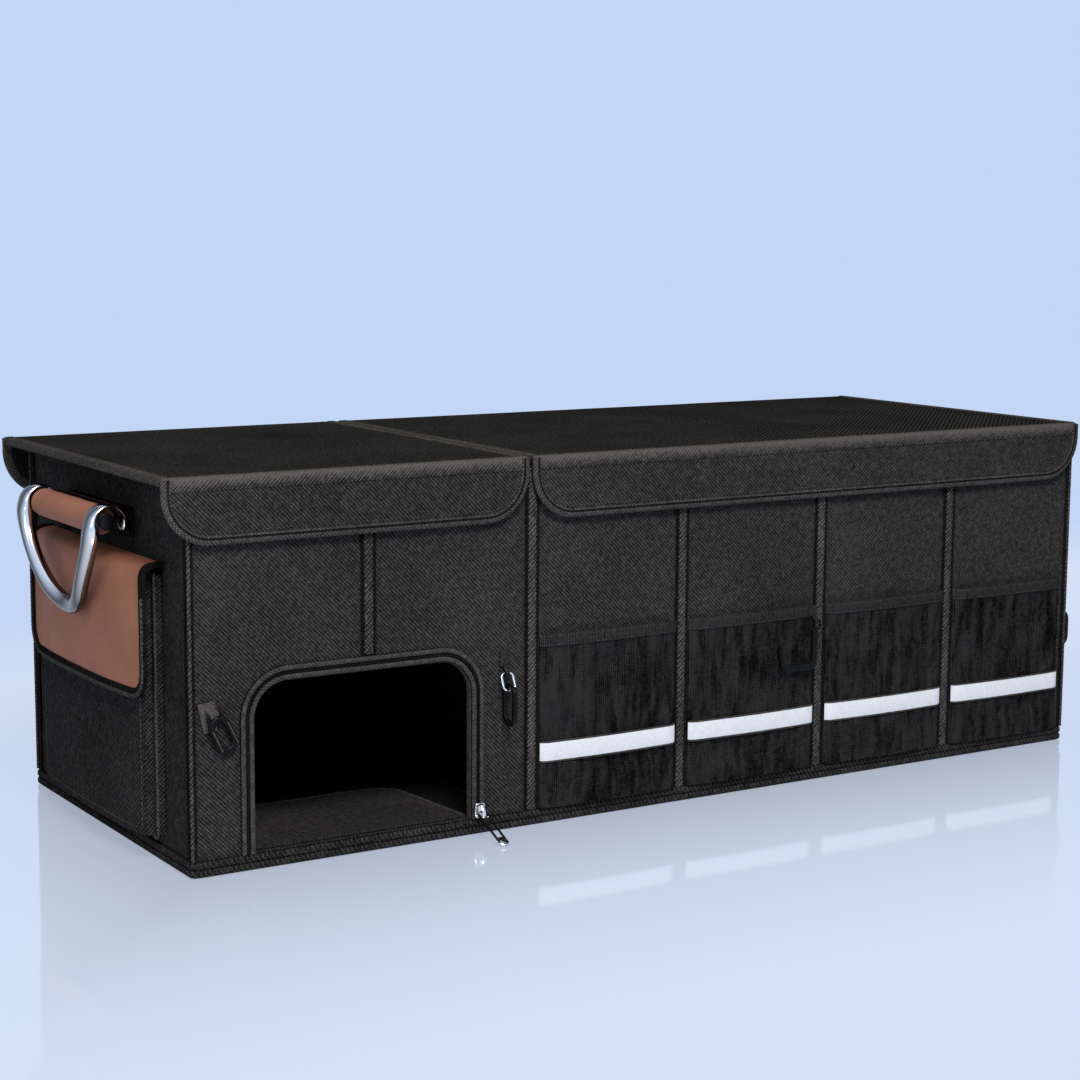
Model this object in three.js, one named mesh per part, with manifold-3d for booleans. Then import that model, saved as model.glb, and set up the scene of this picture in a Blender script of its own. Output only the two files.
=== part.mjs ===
// Car organizer: a long fabric box for a car boot with two hinged lids, three compartments,
// a zip doorway, mesh pockets, end pockets with leather flaps and metal carrying bails.
// Millimetres. +X along the length, -Y towards the front, +Z up. The origin is the bottom
// centre of the box.

import * as THREE from 'three';
import { mergeVertices } from 'three/addons/utils/BufferGeometryUtils.js';
import Module from 'manifold-3d';

const wasm = await Module();
wasm.setup();

// Box
const LENGTH = 960;
const DEPTH = 360;
const WALL_TOP = 320;
const WALL = 5;
const BASE_THICK = 5;
const BOARD_THICK = 3;
const DIVIDER_THICK = 4;
const DIVIDER_DROP = 14;
const SEW = 0.3;
const LOOSE = 1.5;

// Seams of the front: five strips over six panels
const PANELS = 6;
const SEAM_WIDTH = 14;
const SEAM_BASE = 1.1;
const SEAM_RIDGE = 0.9;
const SEAM_PITCH = 7;
const SEAM_GROOVE = 1.5;

// Bindings
const BINDING_HEIGHT = 13.6;
const BINDING_PROUD = 3;
const BINDING_GROOVE = 1;
const CORNER_LEG = 9;
const CORNER_THICK = 1.6;

// Doorway in the front wall of the left compartment, with its zip
const DOOR_LEFT = -426;
const DOOR_WIDTH = 205;
const DOOR_TOP = 156;
const DOOR_SILL = 14;
const DOOR_RADIUS = 31;
const TAPE_WIDTH = 12;
const TAPE_THICK = 1.2;
const TAPE_RIDGE = 2.4;
const PANEL_THICK = 3;
const DOOR_HEM = 8;
const DOOR_HEM_PROUD = 0.8;
const SLIDER_WIDTH = 10;
const SLIDER_HEIGHT = 13;
const SLIDER_THICK = 4.4;
const PULLER_LENGTH = 44;
const PULLER_WIDTH = 9.5;
const PULLER_WIRE = 2.2;
const PULLER_PIN = 1.3;
const SLIDER_REST = 1.2;

// Mesh pockets with a hem band and a reflective strip
const POCKET_TOP = 170;
const POCKET_BAND = 11;
const POCKET_STAND = 5.6;
const POCKET_BULGE = 2.5;
const POCKET_SKIN = 1.2;
const BAND_PROUD = 0.7;
const REFLECT_LOW = 57;
const REFLECT_HEIGHT = 16;
const REFLECT_THICK = 0.6;

// Lids
const LID_THICK = 8;
const LID_LEFT = -505;
const LID_RIGHT = 484;
const LID_SPLIT = -165;
const LID_SPLIT_GAP = 4;
const LID_OVERHANG = 8;
const LID_EDGE_WIDTH = 9;
const LID_EDGE_PROUD = 0.8;
const LID_CREASE = 160;
const CREASE_WIDTH = 4;
const CREASE_DEPTH = 1.6;
const FLAP_THICK = 4;
const FLAP_DROP = 56;
const FLAP_RADIUS = 42;
const FOLD_GAP = 0.4;

// End pockets, leather flaps and handles
const END_POCKET_HALF = 118;
const END_POCKET_LOW = 22;
const END_POCKET_TOP = 246;
const END_POCKET_EDGE = 9;
const END_POCKET_BELLY = 22;
const END_POCKET_SKIN = 2.5;
const END_RIB_WIDTH = 10;
const LEATHER_THICK = 2.6;
const LEATHER_HALF = 132;
const LEATHER_LOW = 138;
const LEATHER_RADIUS = 24;
const LEATHER_BINDING = 9;
const LEATHER_BINDING_THICK = 1.4;
const HANDLE_OUT = 29;
const HANDLE_DROP = 39;
const GRIP_RADIUS = 12.2;
const GRIP_HALF = 69;
const GRIP_TONGUE_THICK = 3;
const GRIP_TONGUE_LOW = 16;
const ROD_RADIUS = 4.6;
const ROD_CLEAR = 0.5;
const BAIL_HALF = 79;
const BAIL_DROP = 80;
const BAIL_WIRE = 6.1;
const BAIL_REST = 0.5;
const HOOK_RADIUS = 13.8;
const HOOK_WIDTH = 17;
const HOOK_THICK = 2.8;
const HOOK_ROOT_THICK = 8;
const EAR_THICK = 3;
const EAR_RADIUS = 8.4;
const ROD_HEAD_RADIUS = 6.8;
const ROD_HEAD_THICK = 2;

// Strap clips
const TAB_THICK = 1.8;
const LOOP_WIDTH = 8;
const LOOP_RADIUS = 3.2;
const LOOP_HOLE = 1.7;
const LOOP_OUT = 4.8;
const EYE_WIRE = 2.2;
const EYE_HEIGHT = 7.5;
const RING_WIRE = 2;
const RING_HEIGHT = 15;
const RING_CORNER = 3.4;
const CLIP_WIRE = 4;
const CLIP_FLAT = 4.6;
const SNAP_WIDTH = 20;
const CORNER_SNAP_WIDTH = 17;
const RING_SNAP_HEIGHT = 37;
const CORNER_SNAP_HEIGHT = 30;
const CORNER_CLIP_TILT = 0.45;
const CORNER_CLIP_X = -463;
const CORNER_CLIP_Z = 135;
const END_CLIP_Y = -166;
const RING_CLIP_Z = 140;
const CORNER_TAB_LOW = 15;
const CORNER_TAB_HIGH = 9;
const RING_TAB_LOW = 6;
const RING_TAB_HIGH = 20;
const PANEL_TAB_LOW = 5;
const PANEL_TAB_HIGH = 14;
const PANEL_CLIP_Z = 156;
const STRAP_HOOK_WIDTH = 47;
const STRAP_HOOK_HEIGHT = 46;
const STRAP_HOOK_BAR = 7;

// Colours
const CHARCOAL = 0x1d1c1d;
const CHARCOAL_EDGE = 0x2b2a2b;
const LINING = 0x171717;
const MESH_GREY = 0x202022;
const REFLECT_WHITE = 0xe9ebee;
const LEATHER_BROWN = 0x99705f;
const ALUMINIUM = 0xd5d8de;
const BLACK_PLASTIC = 0x121213;

const HALF_L = LENGTH / 2;
const HALF_D = DEPTH / 2;
const FRONT = -HALF_D;
const FLOOR_Z = BASE_THICK + SEW;
const BOARD_TOP = FLOOR_Z + BOARD_THICK;
const LID_BOTTOM = WALL_TOP + SEW;
const LID_TOP = WALL_TOP + LID_THICK;
const PANEL_PITCH = LENGTH / PANELS;
const HANDLE_HEIGHT = WALL_TOP - HANDLE_DROP;

// Geometry helpers
function signedVolume(geometry) {
  const p = geometry.getAttribute('position');
  const index = geometry.getIndex();
  const [a, b, c] = [new THREE.Vector3(), new THREE.Vector3(), new THREE.Vector3()];
  let total = 0;
  for (let i = 0; i < index.count; i += 3) {
    a.fromBufferAttribute(p, index.getX(i));
    b.fromBufferAttribute(p, index.getX(i + 1));
    c.fromBufferAttribute(p, index.getX(i + 2));
    total += a.dot(b.cross(c));
  }
  return total / 6;
}

// One closed body with merged corners, its faces pointing out.
function body(geometry) {
  const bare = geometry.clone();
  bare.deleteAttribute('normal');
  bare.deleteAttribute('uv');
  const merged = mergeVertices(bare, 1e-4);
  if (signedVolume(merged) < 0) {
    const index = merged.getIndex();
    for (let i = 0; i < index.count; i += 3) {
      const swap = index.getX(i);
      index.setX(i, index.getX(i + 1));
      index.setX(i + 1, swap);
    }
  }
  merged.computeVertexNormals();
  return merged;
}

function toSolid(geometry) {
  const closed = body(geometry);
  const vertProperties = new Float32Array(closed.getAttribute('position').array);
  const triVerts = new Uint32Array(closed.getIndex().array);
  return new wasm.Manifold(new wasm.Mesh({ numProp: 3, vertProperties, triVerts }));
}

function fromSolid(solid) {
  const mesh = solid.getMesh();
  const geometry = new THREE.BufferGeometry();
  geometry.setAttribute('position', new THREE.BufferAttribute(new Float32Array(mesh.vertProperties), 3));
  geometry.setIndex(new THREE.BufferAttribute(new Uint32Array(mesh.triVerts), 1));
  return body(geometry);
}

function join(first, ...others) {
  return fromSolid(others.reduce((sum, other) => sum.add(toSolid(other)), toSolid(first)));
}

function cut(first, ...others) {
  return fromSolid(others.reduce((rest, other) => rest.subtract(toSolid(other)), toSolid(first)));
}

// Outline in X and Z, extruded along Y from y0 to y1.
function extrudeY(shape, y0, y1, curveSegments = 6) {
  const depth = Math.abs(y1 - y0);
  const geometry = new THREE.ExtrudeGeometry(shape, { depth, bevelEnabled: false, curveSegments });
  return geometry.rotateX(Math.PI / 2).translate(0, Math.max(y0, y1), 0);
}

// Outline in Y and Z, extruded along X from x0 to x1.
function extrudeX(shape, x0, x1, curveSegments = 6) {
  const geometry = new THREE.ExtrudeGeometry(shape, { depth: x1 - x0, bevelEnabled: false, curveSegments });
  const turn = new THREE.Matrix4().makeBasis(
    new THREE.Vector3(0, 1, 0), new THREE.Vector3(0, 0, 1), new THREE.Vector3(1, 0, 0));
  return geometry.applyMatrix4(turn).translate(x0, 0, 0);
}

// Outline in X and Y, extruded up from z0 to z1.
function extrudeZ(shape, z0, z1, curveSegments = 6) {
  const geometry = new THREE.ExtrudeGeometry(shape, { depth: z1 - z0, bevelEnabled: false, curveSegments });
  return geometry.translate(0, 0, z0);
}

function box(x0, x1, y0, y1, z0, z1) {
  return new THREE.BoxGeometry(x1 - x0, y1 - y0, z1 - z0)
    .translate((x0 + x1) / 2, (y0 + y1) / 2, (z0 + z1) / 2);
}

// Cylinder along Y.
function rodY(radius, y0, y1, x, z, sides = 16) {
  return new THREE.CylinderGeometry(radius, radius, y1 - y0, sides).translate(x, (y0 + y1) / 2, z);
}

function polygon(points) {
  return new THREE.Shape(points.map(([a, b]) => new THREE.Vector2(a, b)));
}

// Rectangle with its own radius at the two low corners and the two high ones.
function roundedBox(a0, b0, a1, b1, lowRadius, highRadius = lowRadius) {
  const shape = new THREE.Shape();
  shape.moveTo(a0 + lowRadius, b0);
  shape.lineTo(a1 - lowRadius, b0);
  if (lowRadius > 0) shape.absarc(a1 - lowRadius, b0 + lowRadius, lowRadius, -Math.PI / 2, 0, false);
  shape.lineTo(a1, b1 - highRadius);
  if (highRadius > 0) shape.absarc(a1 - highRadius, b1 - highRadius, highRadius, 0, Math.PI / 2, false);
  shape.lineTo(a0 + highRadius, b1);
  if (highRadius > 0) shape.absarc(a0 + highRadius, b1 - highRadius, highRadius, Math.PI / 2, Math.PI, false);
  shape.lineTo(a0, b0 + lowRadius);
  if (lowRadius > 0) shape.absarc(a0 + lowRadius, b0 + lowRadius, lowRadius, Math.PI, Math.PI * 1.5, false);
  return shape;
}

// Body through matching cross-sections; an open run is capped at both ends.
function loft(sections, closedRun = false) {
  const count = sections[0].length;
  const positions = [];
  sections.forEach((ring) => ring.forEach((p) => positions.push(p.x, p.y, p.z)));
  const triangles = [];
  const runs = closedRun ? sections.length : sections.length - 1;
  for (let i = 0; i < runs; i += 1) {
    const next = (i + 1) % sections.length;
    for (let j = 0; j < count; j += 1) {
      const k = (j + 1) % count;
      const [a, b, c, d] = [i * count + j, i * count + k, next * count + k, next * count + j];
      triangles.push(a, b, c, a, c, d);
    }
  }
  if (!closedRun) {
    const origin = sections[0][0];
    const u = sections[0][1].clone().sub(origin).normalize();
    const away = sections[0].reduce((best, p) => {
      const side = p.clone().sub(origin);
      side.addScaledVector(u, -side.dot(u));
      return side.length() > best.length() ? side : best;
    }, new THREE.Vector3());
    const v = away.normalize();
    const flat = sections[0].map((p) => {
      const d = p.clone().sub(origin);
      return new THREE.Vector2(d.dot(u), d.dot(v));
    });
    const last = (sections.length - 1) * count;
    const caps = THREE.ShapeUtils.triangulateShape(flat, []);
    const flip = THREE.ShapeUtils.area(flat) > 0;
    caps.forEach(([a, b, c]) => {
      triangles.push(...(flip ? [a, c, b] : [a, b, c]));
      triangles.push(last + a, ...(flip ? [last + b, last + c] : [last + c, last + b]));
    });
    if (!flip) {
      for (let i = 0; i < runs * count * 6; i += 3) {
        [triangles[i], triangles[i + 1]] = [triangles[i + 1], triangles[i]];
      }
    }
  }
  const geometry = new THREE.BufferGeometry();
  geometry.setAttribute('position', new THREE.BufferAttribute(new Float32Array(positions), 3));
  geometry.setIndex(triangles);
  return geometry;
}

// Round wire, or a flattened one, along listed points with a normal at each.
function wire(path, sides = 10, closedRun = false) {
  const sections = path.map(({ at, normal, wide, thick }, i) => {
    const before = path[closedRun ? (i + path.length - 1) % path.length : Math.max(i - 1, 0)].at;
    const after = path[closedRun ? (i + 1) % path.length : Math.min(i + 1, path.length - 1)].at;
    const along = after.clone().sub(before).normalize();
    const n = normal.clone().addScaledVector(along, -normal.dot(along)).normalize();
    const w = along.clone().cross(n);
    return Array.from({ length: sides }, (_, k) => {
      const angle = ((k + 0.5) / sides) * Math.PI * 2;
      return at.clone().addScaledVector(w, wide * Math.cos(angle)).addScaledVector(n, thick * Math.sin(angle));
    });
  });
  return loft(sections, closedRun);
}

const organizer = new THREE.Group();

function piece(parent, name, geometry, color, roughness = 0.9, metalness = 0) {
  const material = new THREE.MeshStandardMaterial({ color, roughness, metalness });
  const mesh = new THREE.Mesh(geometry, material);
  mesh.name = name;
  parent.add(mesh);
  return mesh;
}

// Base, loose boards and walls
piece(organizer, 'base_panel', body(box(-HALF_L, HALF_L, -HALF_D, HALF_D, 0, BASE_THICK)), CHARCOAL);

const dividerPlaces = [-PANEL_PITCH, PANEL_PITCH];
const compartments = [
  ['left', -HALF_L + WALL, dividerPlaces[0] - DIVIDER_THICK / 2],
  ['middle', dividerPlaces[0] + DIVIDER_THICK / 2, dividerPlaces[1] - DIVIDER_THICK / 2],
  ['right', dividerPlaces[1] + DIVIDER_THICK / 2, HALF_L - WALL],
];
compartments.forEach(([side, x0, x1]) => {
  const outline = roundedBox(x0 + LOOSE, FRONT + WALL + LOOSE, x1 - LOOSE, HALF_D - WALL - LOOSE, 6);
  piece(organizer, `${side}_base_board`, body(extrudeZ(outline, FLOOR_Z, BOARD_TOP, 3)), LINING);
});

function doorOutline(grow, low) {
  const right = DOOR_LEFT + DOOR_WIDTH;
  return roundedBox(DOOR_LEFT - grow, low, right + grow, DOOR_TOP + grow, 0, DOOR_RADIUS + grow);
}

const seamPlaces = Array.from({ length: PANELS - 1 }, (_, i) => -HALF_L + (i + 1) * PANEL_PITCH);

function frontWall() {
  const wall = box(-HALF_L, HALF_L, FRONT, FRONT + WALL, FLOOR_Z, WALL_TOP);
  return cut(wall, extrudeY(doorOutline(0, DOOR_SILL), FRONT - WALL, FRONT + 2 * WALL));
}

// The rear wall carries the same seams as grooved ridges of its own folds.
function rearWall() {
  const slab = box(-HALF_L, HALF_L, HALF_D - WALL, HALF_D, FLOOR_Z, WALL_TOP);
  const half = SEAM_WIDTH / 2;
  const proud = HALF_D + SEAM_BASE;
  const ridges = seamPlaces.map((x) => extrudeZ(polygon([
    [x - half, HALF_D - 1], [x + half, HALF_D - 1], [x + half, HALF_D], [x + half - 1, proud],
    [x + SEAM_GROOVE, proud], [x, HALF_D + SEAM_BASE / 3], [x - SEAM_GROOVE, proud],
    [x - half + 1, proud], [x - half, HALF_D]]), BINDING_HEIGHT + SEW, WALL_TOP - 1));
  return join(slab, ...ridges);
}

piece(organizer, 'front_wall', frontWall(), CHARCOAL);
piece(organizer, 'rear_wall', rearWall(), CHARCOAL);
[['left', -1], ['right', 1]].forEach(([side, sign]) => {
  const outer = sign * HALF_L;
  const inner = sign * (HALF_L - WALL);
  const wall = box(Math.min(outer, inner), Math.max(outer, inner),
    FRONT + WALL + SEW, HALF_D - WALL - SEW, FLOOR_Z, WALL_TOP);
  piece(organizer, `${side}_end_wall`, body(wall), CHARCOAL);
  const x = sign * PANEL_PITCH;
  const divider = box(x - DIVIDER_THICK / 2, x + DIVIDER_THICK / 2,
    FRONT + WALL + SEW, HALF_D - WALL - SEW, FLOOR_Z, WALL_TOP - DIVIDER_DROP);
  piece(organizer, `${side}_divider`, body(divider), LINING);
});

// Bound lower edge: one rolled tape round the whole box, with a stitched groove.
function bottomBinding() {
  const high = BINDING_HEIGHT;
  const profile = [[SEW, 0], [BINDING_PROUD - 0.8, 0], [BINDING_PROUD, 1.8], [BINDING_PROUD, high * 0.36],
    [BINDING_PROUD - BINDING_GROOVE, high * 0.46], [BINDING_PROUD, high * 0.56],
    [BINDING_PROUD, high - 1.8], [BINDING_PROUD - 0.8, high], [SEW, high]];
  const sections = [];
  const steps = 4;
  [[1, 1, 0], [-1, 1, 1], [-1, -1, 2], [1, -1, 3]].forEach(([sx, sy, quarter]) => {
    for (let i = 0; i <= steps; i += 1) {
      const angle = (quarter + i / steps) * (Math.PI / 2);
      const [c, s] = [Math.cos(angle), Math.sin(angle)];
      sections.push(profile.map(([out, z]) => new THREE.Vector3(sx * HALF_L + out * c, sy * HALF_D + out * s, z)));
    }
  });
  return body(loft(sections, true));
}
piece(organizer, 'bottom_binding', bottomBinding(), CHARCOAL_EDGE);

function cornerBinding(sx, sy) {
  const outer = SEW + CORNER_THICK;
  const shape = new THREE.Shape();
  shape.moveTo(HALF_L + SEW, HALF_D - CORNER_LEG);
  shape.lineTo(HALF_L + outer, HALF_D - CORNER_LEG);
  shape.lineTo(HALF_L + outer, HALF_D);
  shape.absarc(HALF_L, HALF_D, outer, 0, Math.PI / 2, false);
  shape.lineTo(HALF_L - CORNER_LEG, HALF_D + outer);
  shape.lineTo(HALF_L - CORNER_LEG, HALF_D + SEW);
  shape.lineTo(HALF_L + SEW, HALF_D + SEW);
  return body(extrudeZ(shape, BINDING_HEIGHT + SEW, WALL_TOP - 1, 3).scale(sx, sy, 1));
}
[['left', -1], ['right', 1]].forEach(([side, sx]) => {
  [['front', -1], ['rear', 1]].forEach(([end, sy]) => {
    piece(organizer, `${end}_${side}_corner_binding`, cornerBinding(sx, sy), CHARCOAL_EDGE);
  });
});

// Cross-stitched seam strips on the front
function seamStrip(x, z0, z1) {
  const back = FRONT - SEW;
  const low = back - SEAM_BASE;
  const count = Math.max(1, Math.round((z1 - z0) / SEAM_PITCH));
  const pitch = (z1 - z0) / count;
  const points = [[back, z0], [back, z1]];
  for (let i = count - 1; i >= 0; i -= 1) {
    points.push([low, z0 + (i + 1) * pitch], [low - SEAM_RIDGE, z0 + (i + 0.5) * pitch]);
  }
  points.push([low, z0]);
  return body(extrudeX(polygon(points), x - SEAM_WIDTH / 2, x + SEAM_WIDTH / 2));
}
seamPlaces.forEach((x, i) => {
  const overDoor = x > DOOR_LEFT && x < DOOR_LEFT + DOOR_WIDTH;
  const low = overDoor ? DOOR_TOP + TAPE_WIDTH + LOOSE : BINDING_HEIGHT + SEW;
  piece(organizer, `front_seam_${i + 1}`, seamStrip(x, low, WALL_TOP - 1), CHARCOAL_EDGE);
});

// Mesh pockets: a thin bulging skin with sides and floor turned in to the wall, and a hem band
function pocketFace(x, x0, x1) {
  const t = (x - x0) / (x1 - x0);
  return FRONT - POCKET_STAND - POCKET_BULGE * Math.sin(Math.PI * t);
}

function pocketOutline(x0, x1, proud, inset) {
  const steps = 8;
  const points = [[x0, FRONT - SEW]];
  for (let i = 0; i <= steps; i += 1) {
    const x = x0 + ((x1 - x0) * i) / steps;
    points.push([x, pocketFace(x, x0, x1) - proud]);
  }
  points.push([x1, FRONT - SEW], [x1 - inset, FRONT - SEW]);
  for (let i = steps; i >= 0; i -= 1) {
    const x = x0 + inset + ((x1 - x0 - 2 * inset) * i) / steps;
    points.push([x, pocketFace(x, x0, x1) + inset]);
  }
  points.push([x0 + inset, FRONT - SEW]);
  return polygon(points);
}

function meshPocket(x0, x1) {
  const low = BINDING_HEIGHT + SEW;
  const tuck = 0.25;
  const [a, b] = [x0 + tuck, x1 - tuck];
  const skin = extrudeZ(pocketOutline(a, b, 0, POCKET_SKIN), low, POCKET_TOP - 1);
  const band = extrudeZ(pocketOutline(x0, x1, BAND_PROUD, POCKET_SKIN + tuck), POCKET_TOP - POCKET_BAND,
    POCKET_TOP);
  const steps = 8;
  const face = Array.from({ length: steps + 1 }, (_, i) => {
    const x = b - tuck - ((b - a - 2 * tuck) * i) / steps;
    return [x, pocketFace(x, a, b) + POCKET_SKIN / 2];
  });
  const floorShape = polygon([[a + tuck, FRONT - SEW - tuck], [b - tuck, FRONT - SEW - tuck], ...face]);
  return join(skin, band, extrudeZ(floorShape, low + tuck, low + tuck + POCKET_SKIN));
}

function reflectiveStrip(x0, x1) {
  const steps = 8;
  const [a, b] = [x0 + LOOSE, x1 - LOOSE];
  const along = Array.from({ length: steps + 1 }, (_, i) => a + ((b - a) * i) / steps);
  const points = along.map((x) => [x, pocketFace(x, x0, x1) - SEW]);
  along.reverse().forEach((x) => points.push([x, pocketFace(x, x0, x1) - SEW - REFLECT_THICK]));
  return body(extrudeZ(polygon(points), REFLECT_LOW, REFLECT_LOW + REFLECT_HEIGHT));
}

const pocketEdges = [...seamPlaces.slice(1), HALF_L - CORNER_LEG + SEAM_WIDTH / 2];
for (let i = 0; i < pocketEdges.length - 1; i += 1) {
  const x0 = pocketEdges[i] + SEAM_WIDTH / 2 + SEW;
  const x1 = pocketEdges[i + 1] - SEAM_WIDTH / 2 - SEW;
  piece(organizer, `mesh_pocket_${i + 1}`, meshPocket(x0, x1), MESH_GREY);
  piece(organizer, `reflective_strip_${i + 1}`, reflectiveStrip(x0, x1), REFLECT_WHITE, 0.35);
}

// Zip round the doorway: a bound band with two welts and the groove that the coil lies in
function zipBand() {
  const middle = TAPE_WIDTH / 2;
  const left = DOOR_LEFT - middle;
  const right = DOOR_LEFT + DOOR_WIDTH + middle;
  const radius = DOOR_RADIUS + middle;
  const top = DOOR_TOP + middle;
  const path = [{ x: left, z: BINDING_HEIGHT + SEW, angle: Math.PI }];
  const steps = 6;
  [[left + radius, Math.PI], [right - radius, Math.PI / 2]].forEach(([x, start]) => {
    for (let i = 0; i <= steps; i += 1) {
      const angle = start - (i / steps) * (Math.PI / 2);
      path.push({ x: x + radius * Math.cos(angle), z: top - radius + radius * Math.sin(angle), angle });
    }
  });
  path.push({ x: right, z: BINDING_HEIGHT + SEW, angle: 0 });
  const face = TAPE_THICK + TAPE_RIDGE;
  const profile = [[-middle, 0], [middle, 0], [middle, TAPE_THICK], [middle - 1.2, face], [middle - 3.4, face],
    [1.3, TAPE_THICK], [-1.3, TAPE_THICK], [-middle + 3.4, face], [-middle + 1.2, face], [-middle, TAPE_THICK]];
  return body(loft(path.map(({ x, z, angle }) => profile.map(([side, out]) => new THREE.Vector3(
    x + side * Math.cos(angle), FRONT - SEW - out, z + side * Math.sin(angle))))));
}
piece(organizer, 'zip_band', zipBand(), CHARCOAL_EDGE);

// Door panel, unzipped and tucked inwards: it lies on the compartment's board. In its own group
// it stands closed; the group turns it in.
const DOOR_HINGE_Y = FRONT + WALL;
const DOOR_HINGE_Z = DOOR_SILL - SEW;
const doorHeight = DOOR_TOP - LOOSE - DOOR_HINGE_Z;
const doorTilt = Math.asin((DOOR_HINGE_Z - BOARD_TOP - SEW) / doorHeight);
const doorGroup = new THREE.Group();
doorGroup.position.set(0, DOOR_HINGE_Y, DOOR_HINGE_Z);
doorGroup.rotation.x = -(Math.PI / 2 + doorTilt);
organizer.add(doorGroup);

function doorPanel() {
  const right = DOOR_LEFT + DOOR_WIDTH;
  const hem = LOOSE + DOOR_HEM;
  const outline = roundedBox(DOOR_LEFT + LOOSE, 2 * SEW, right - LOOSE, doorHeight, 0, DOOR_RADIUS - LOOSE);
  const inner = roundedBox(DOOR_LEFT + hem, DOOR_HEM, right - hem, doorHeight - DOOR_HEM, 0, DOOR_RADIUS - hem);
  const outer = -SEW - PANEL_THICK;
  return cut(extrudeY(outline, outer, -SEW), extrudeY(inner, outer - 1, outer + DOOR_HEM_PROUD));
}
piece(doorGroup, 'door_panel', doorPanel(), CHARCOAL);

// Slider and its puller at the lower end of the zip's right leg
const zipX = DOOR_LEFT + DOOR_WIDTH + TAPE_WIDTH / 2;
const zipFace = FRONT - SEW - TAPE_THICK - TAPE_RIDGE;
const sliderLow = BINDING_HEIGHT + SEW + SLIDER_REST;
const pullerY = zipFace - SEW - SLIDER_THICK - PULLER_WIRE;
const pullerZ = sliderLow + SLIDER_HEIGHT * 0.3;

function zipSlider() {
  const back = zipFace - SEW;
  const half = SLIDER_WIDTH / 2;
  const high = SLIDER_HEIGHT;
  const plate = polygon([[zipX - half * 0.7, sliderLow], [zipX + half * 0.7, sliderLow],
    [zipX + half, sliderLow + high * 0.45], [zipX + half * 0.86, sliderLow + high],
    [zipX - half * 0.86, sliderLow + high], [zipX - half, sliderLow + high * 0.45]]);
  const plateFace = back - SLIDER_THICK * 0.55;
  const topPlate = extrudeY(plate, back, plateFace);
  const eye = PULLER_WIRE / 2 + 0.4;
  const bridge = polygon([[plateFace + 0.4, pullerZ - 3], [plateFace + 0.4, sliderLow + high - 0.6],
    [pullerY - 1, sliderLow + high - 2.6], [pullerY - eye - 1.2, pullerZ + 1.6],
    [pullerY - eye - 1.2, pullerZ - 1.6], [pullerY - 0.6, pullerZ - 3]]);
  const bore = new THREE.CylinderGeometry(eye, eye, SLIDER_WIDTH, 12).rotateZ(Math.PI / 2)
    .translate(zipX, pullerY, pullerZ);
  return join(topPlate, cut(extrudeX(bridge, zipX - 1.5, zipX + 1.5), bore));
}
piece(organizer, 'zip_slider', zipSlider(), ALUMINIUM, 0.25, 1);

// The puller's cross pin passes the slider's eye; its long loop leans down to the ground.
const pullerTilt = Math.asin((pullerZ - PULLER_WIRE * 0.75) / (PULLER_LENGTH - PULLER_WIRE));
const pullerGroup = new THREE.Group();
pullerGroup.position.set(zipX, pullerY, pullerZ);
pullerGroup.rotation.x = pullerTilt;
organizer.add(pullerGroup);

function zipPuller() {
  const half = PULLER_WIDTH / 2;
  const thick = PULLER_WIRE / 2;
  const outline = new THREE.Shape();
  outline.moveTo(-half, 0);
  outline.lineTo(-half, -PULLER_LENGTH + half);
  outline.absarc(0, -PULLER_LENGTH + half, half, Math.PI, Math.PI * 2, false);
  outline.lineTo(half, 0);
  outline.lineTo(half - PULLER_WIRE, 0);
  outline.lineTo(half - PULLER_WIRE, -PULLER_LENGTH + half);
  outline.absarc(0, -PULLER_LENGTH + half, half - PULLER_WIRE, 0, -Math.PI, true);
  outline.lineTo(-half + PULLER_WIRE, 0);
  const loop = extrudeZ(outline, -thick * 0.8, thick * 0.8, 6);
  const weight = box(-half + PULLER_WIRE - 0.4, half - PULLER_WIRE + 0.4, -PULLER_LENGTH + half,
    -PULLER_LENGTH + half + 7, -thick * 0.7, thick * 0.7);
  const pin = new THREE.CylinderGeometry(PULLER_PIN / 2, PULLER_PIN / 2, PULLER_WIDTH - 0.6, 10)
    .rotateZ(Math.PI / 2).translate(0, -PULLER_PIN * 0.4, 0);
  return join(loop, weight, pin);
}
piece(pullerGroup, 'zip_puller', zipPuller(), ALUMINIUM, 0.2, 1);

// Lids: a stiff plate with bound ends, and flaps that hang over the front and the back
function lidPlate(x0, x1) {
  const step = LID_EDGE_PROUD;
  const top = LID_TOP - step;
  const points = [[x0, LID_BOTTOM], [x1, LID_BOTTOM], [x1, top + step], [x1 - LID_EDGE_WIDTH, top + step],
    [x1 - LID_EDGE_WIDTH - step, top]];
  if (LID_CREASE > x0 && LID_CREASE < x1) {
    points.push([LID_CREASE + CREASE_WIDTH / 2, top], [LID_CREASE, top - CREASE_DEPTH],
      [LID_CREASE - CREASE_WIDTH / 2, top]);
  }
  points.push([x0 + LID_EDGE_WIDTH + step, top], [x0 + LID_EDGE_WIDTH, top + step], [x0, top + step]);
  const reach = HALF_D + LID_OVERHANG - FLAP_THICK - LID_EDGE_PROUD - FOLD_GAP;
  return body(extrudeY(polygon(points), -reach, reach));
}

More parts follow.
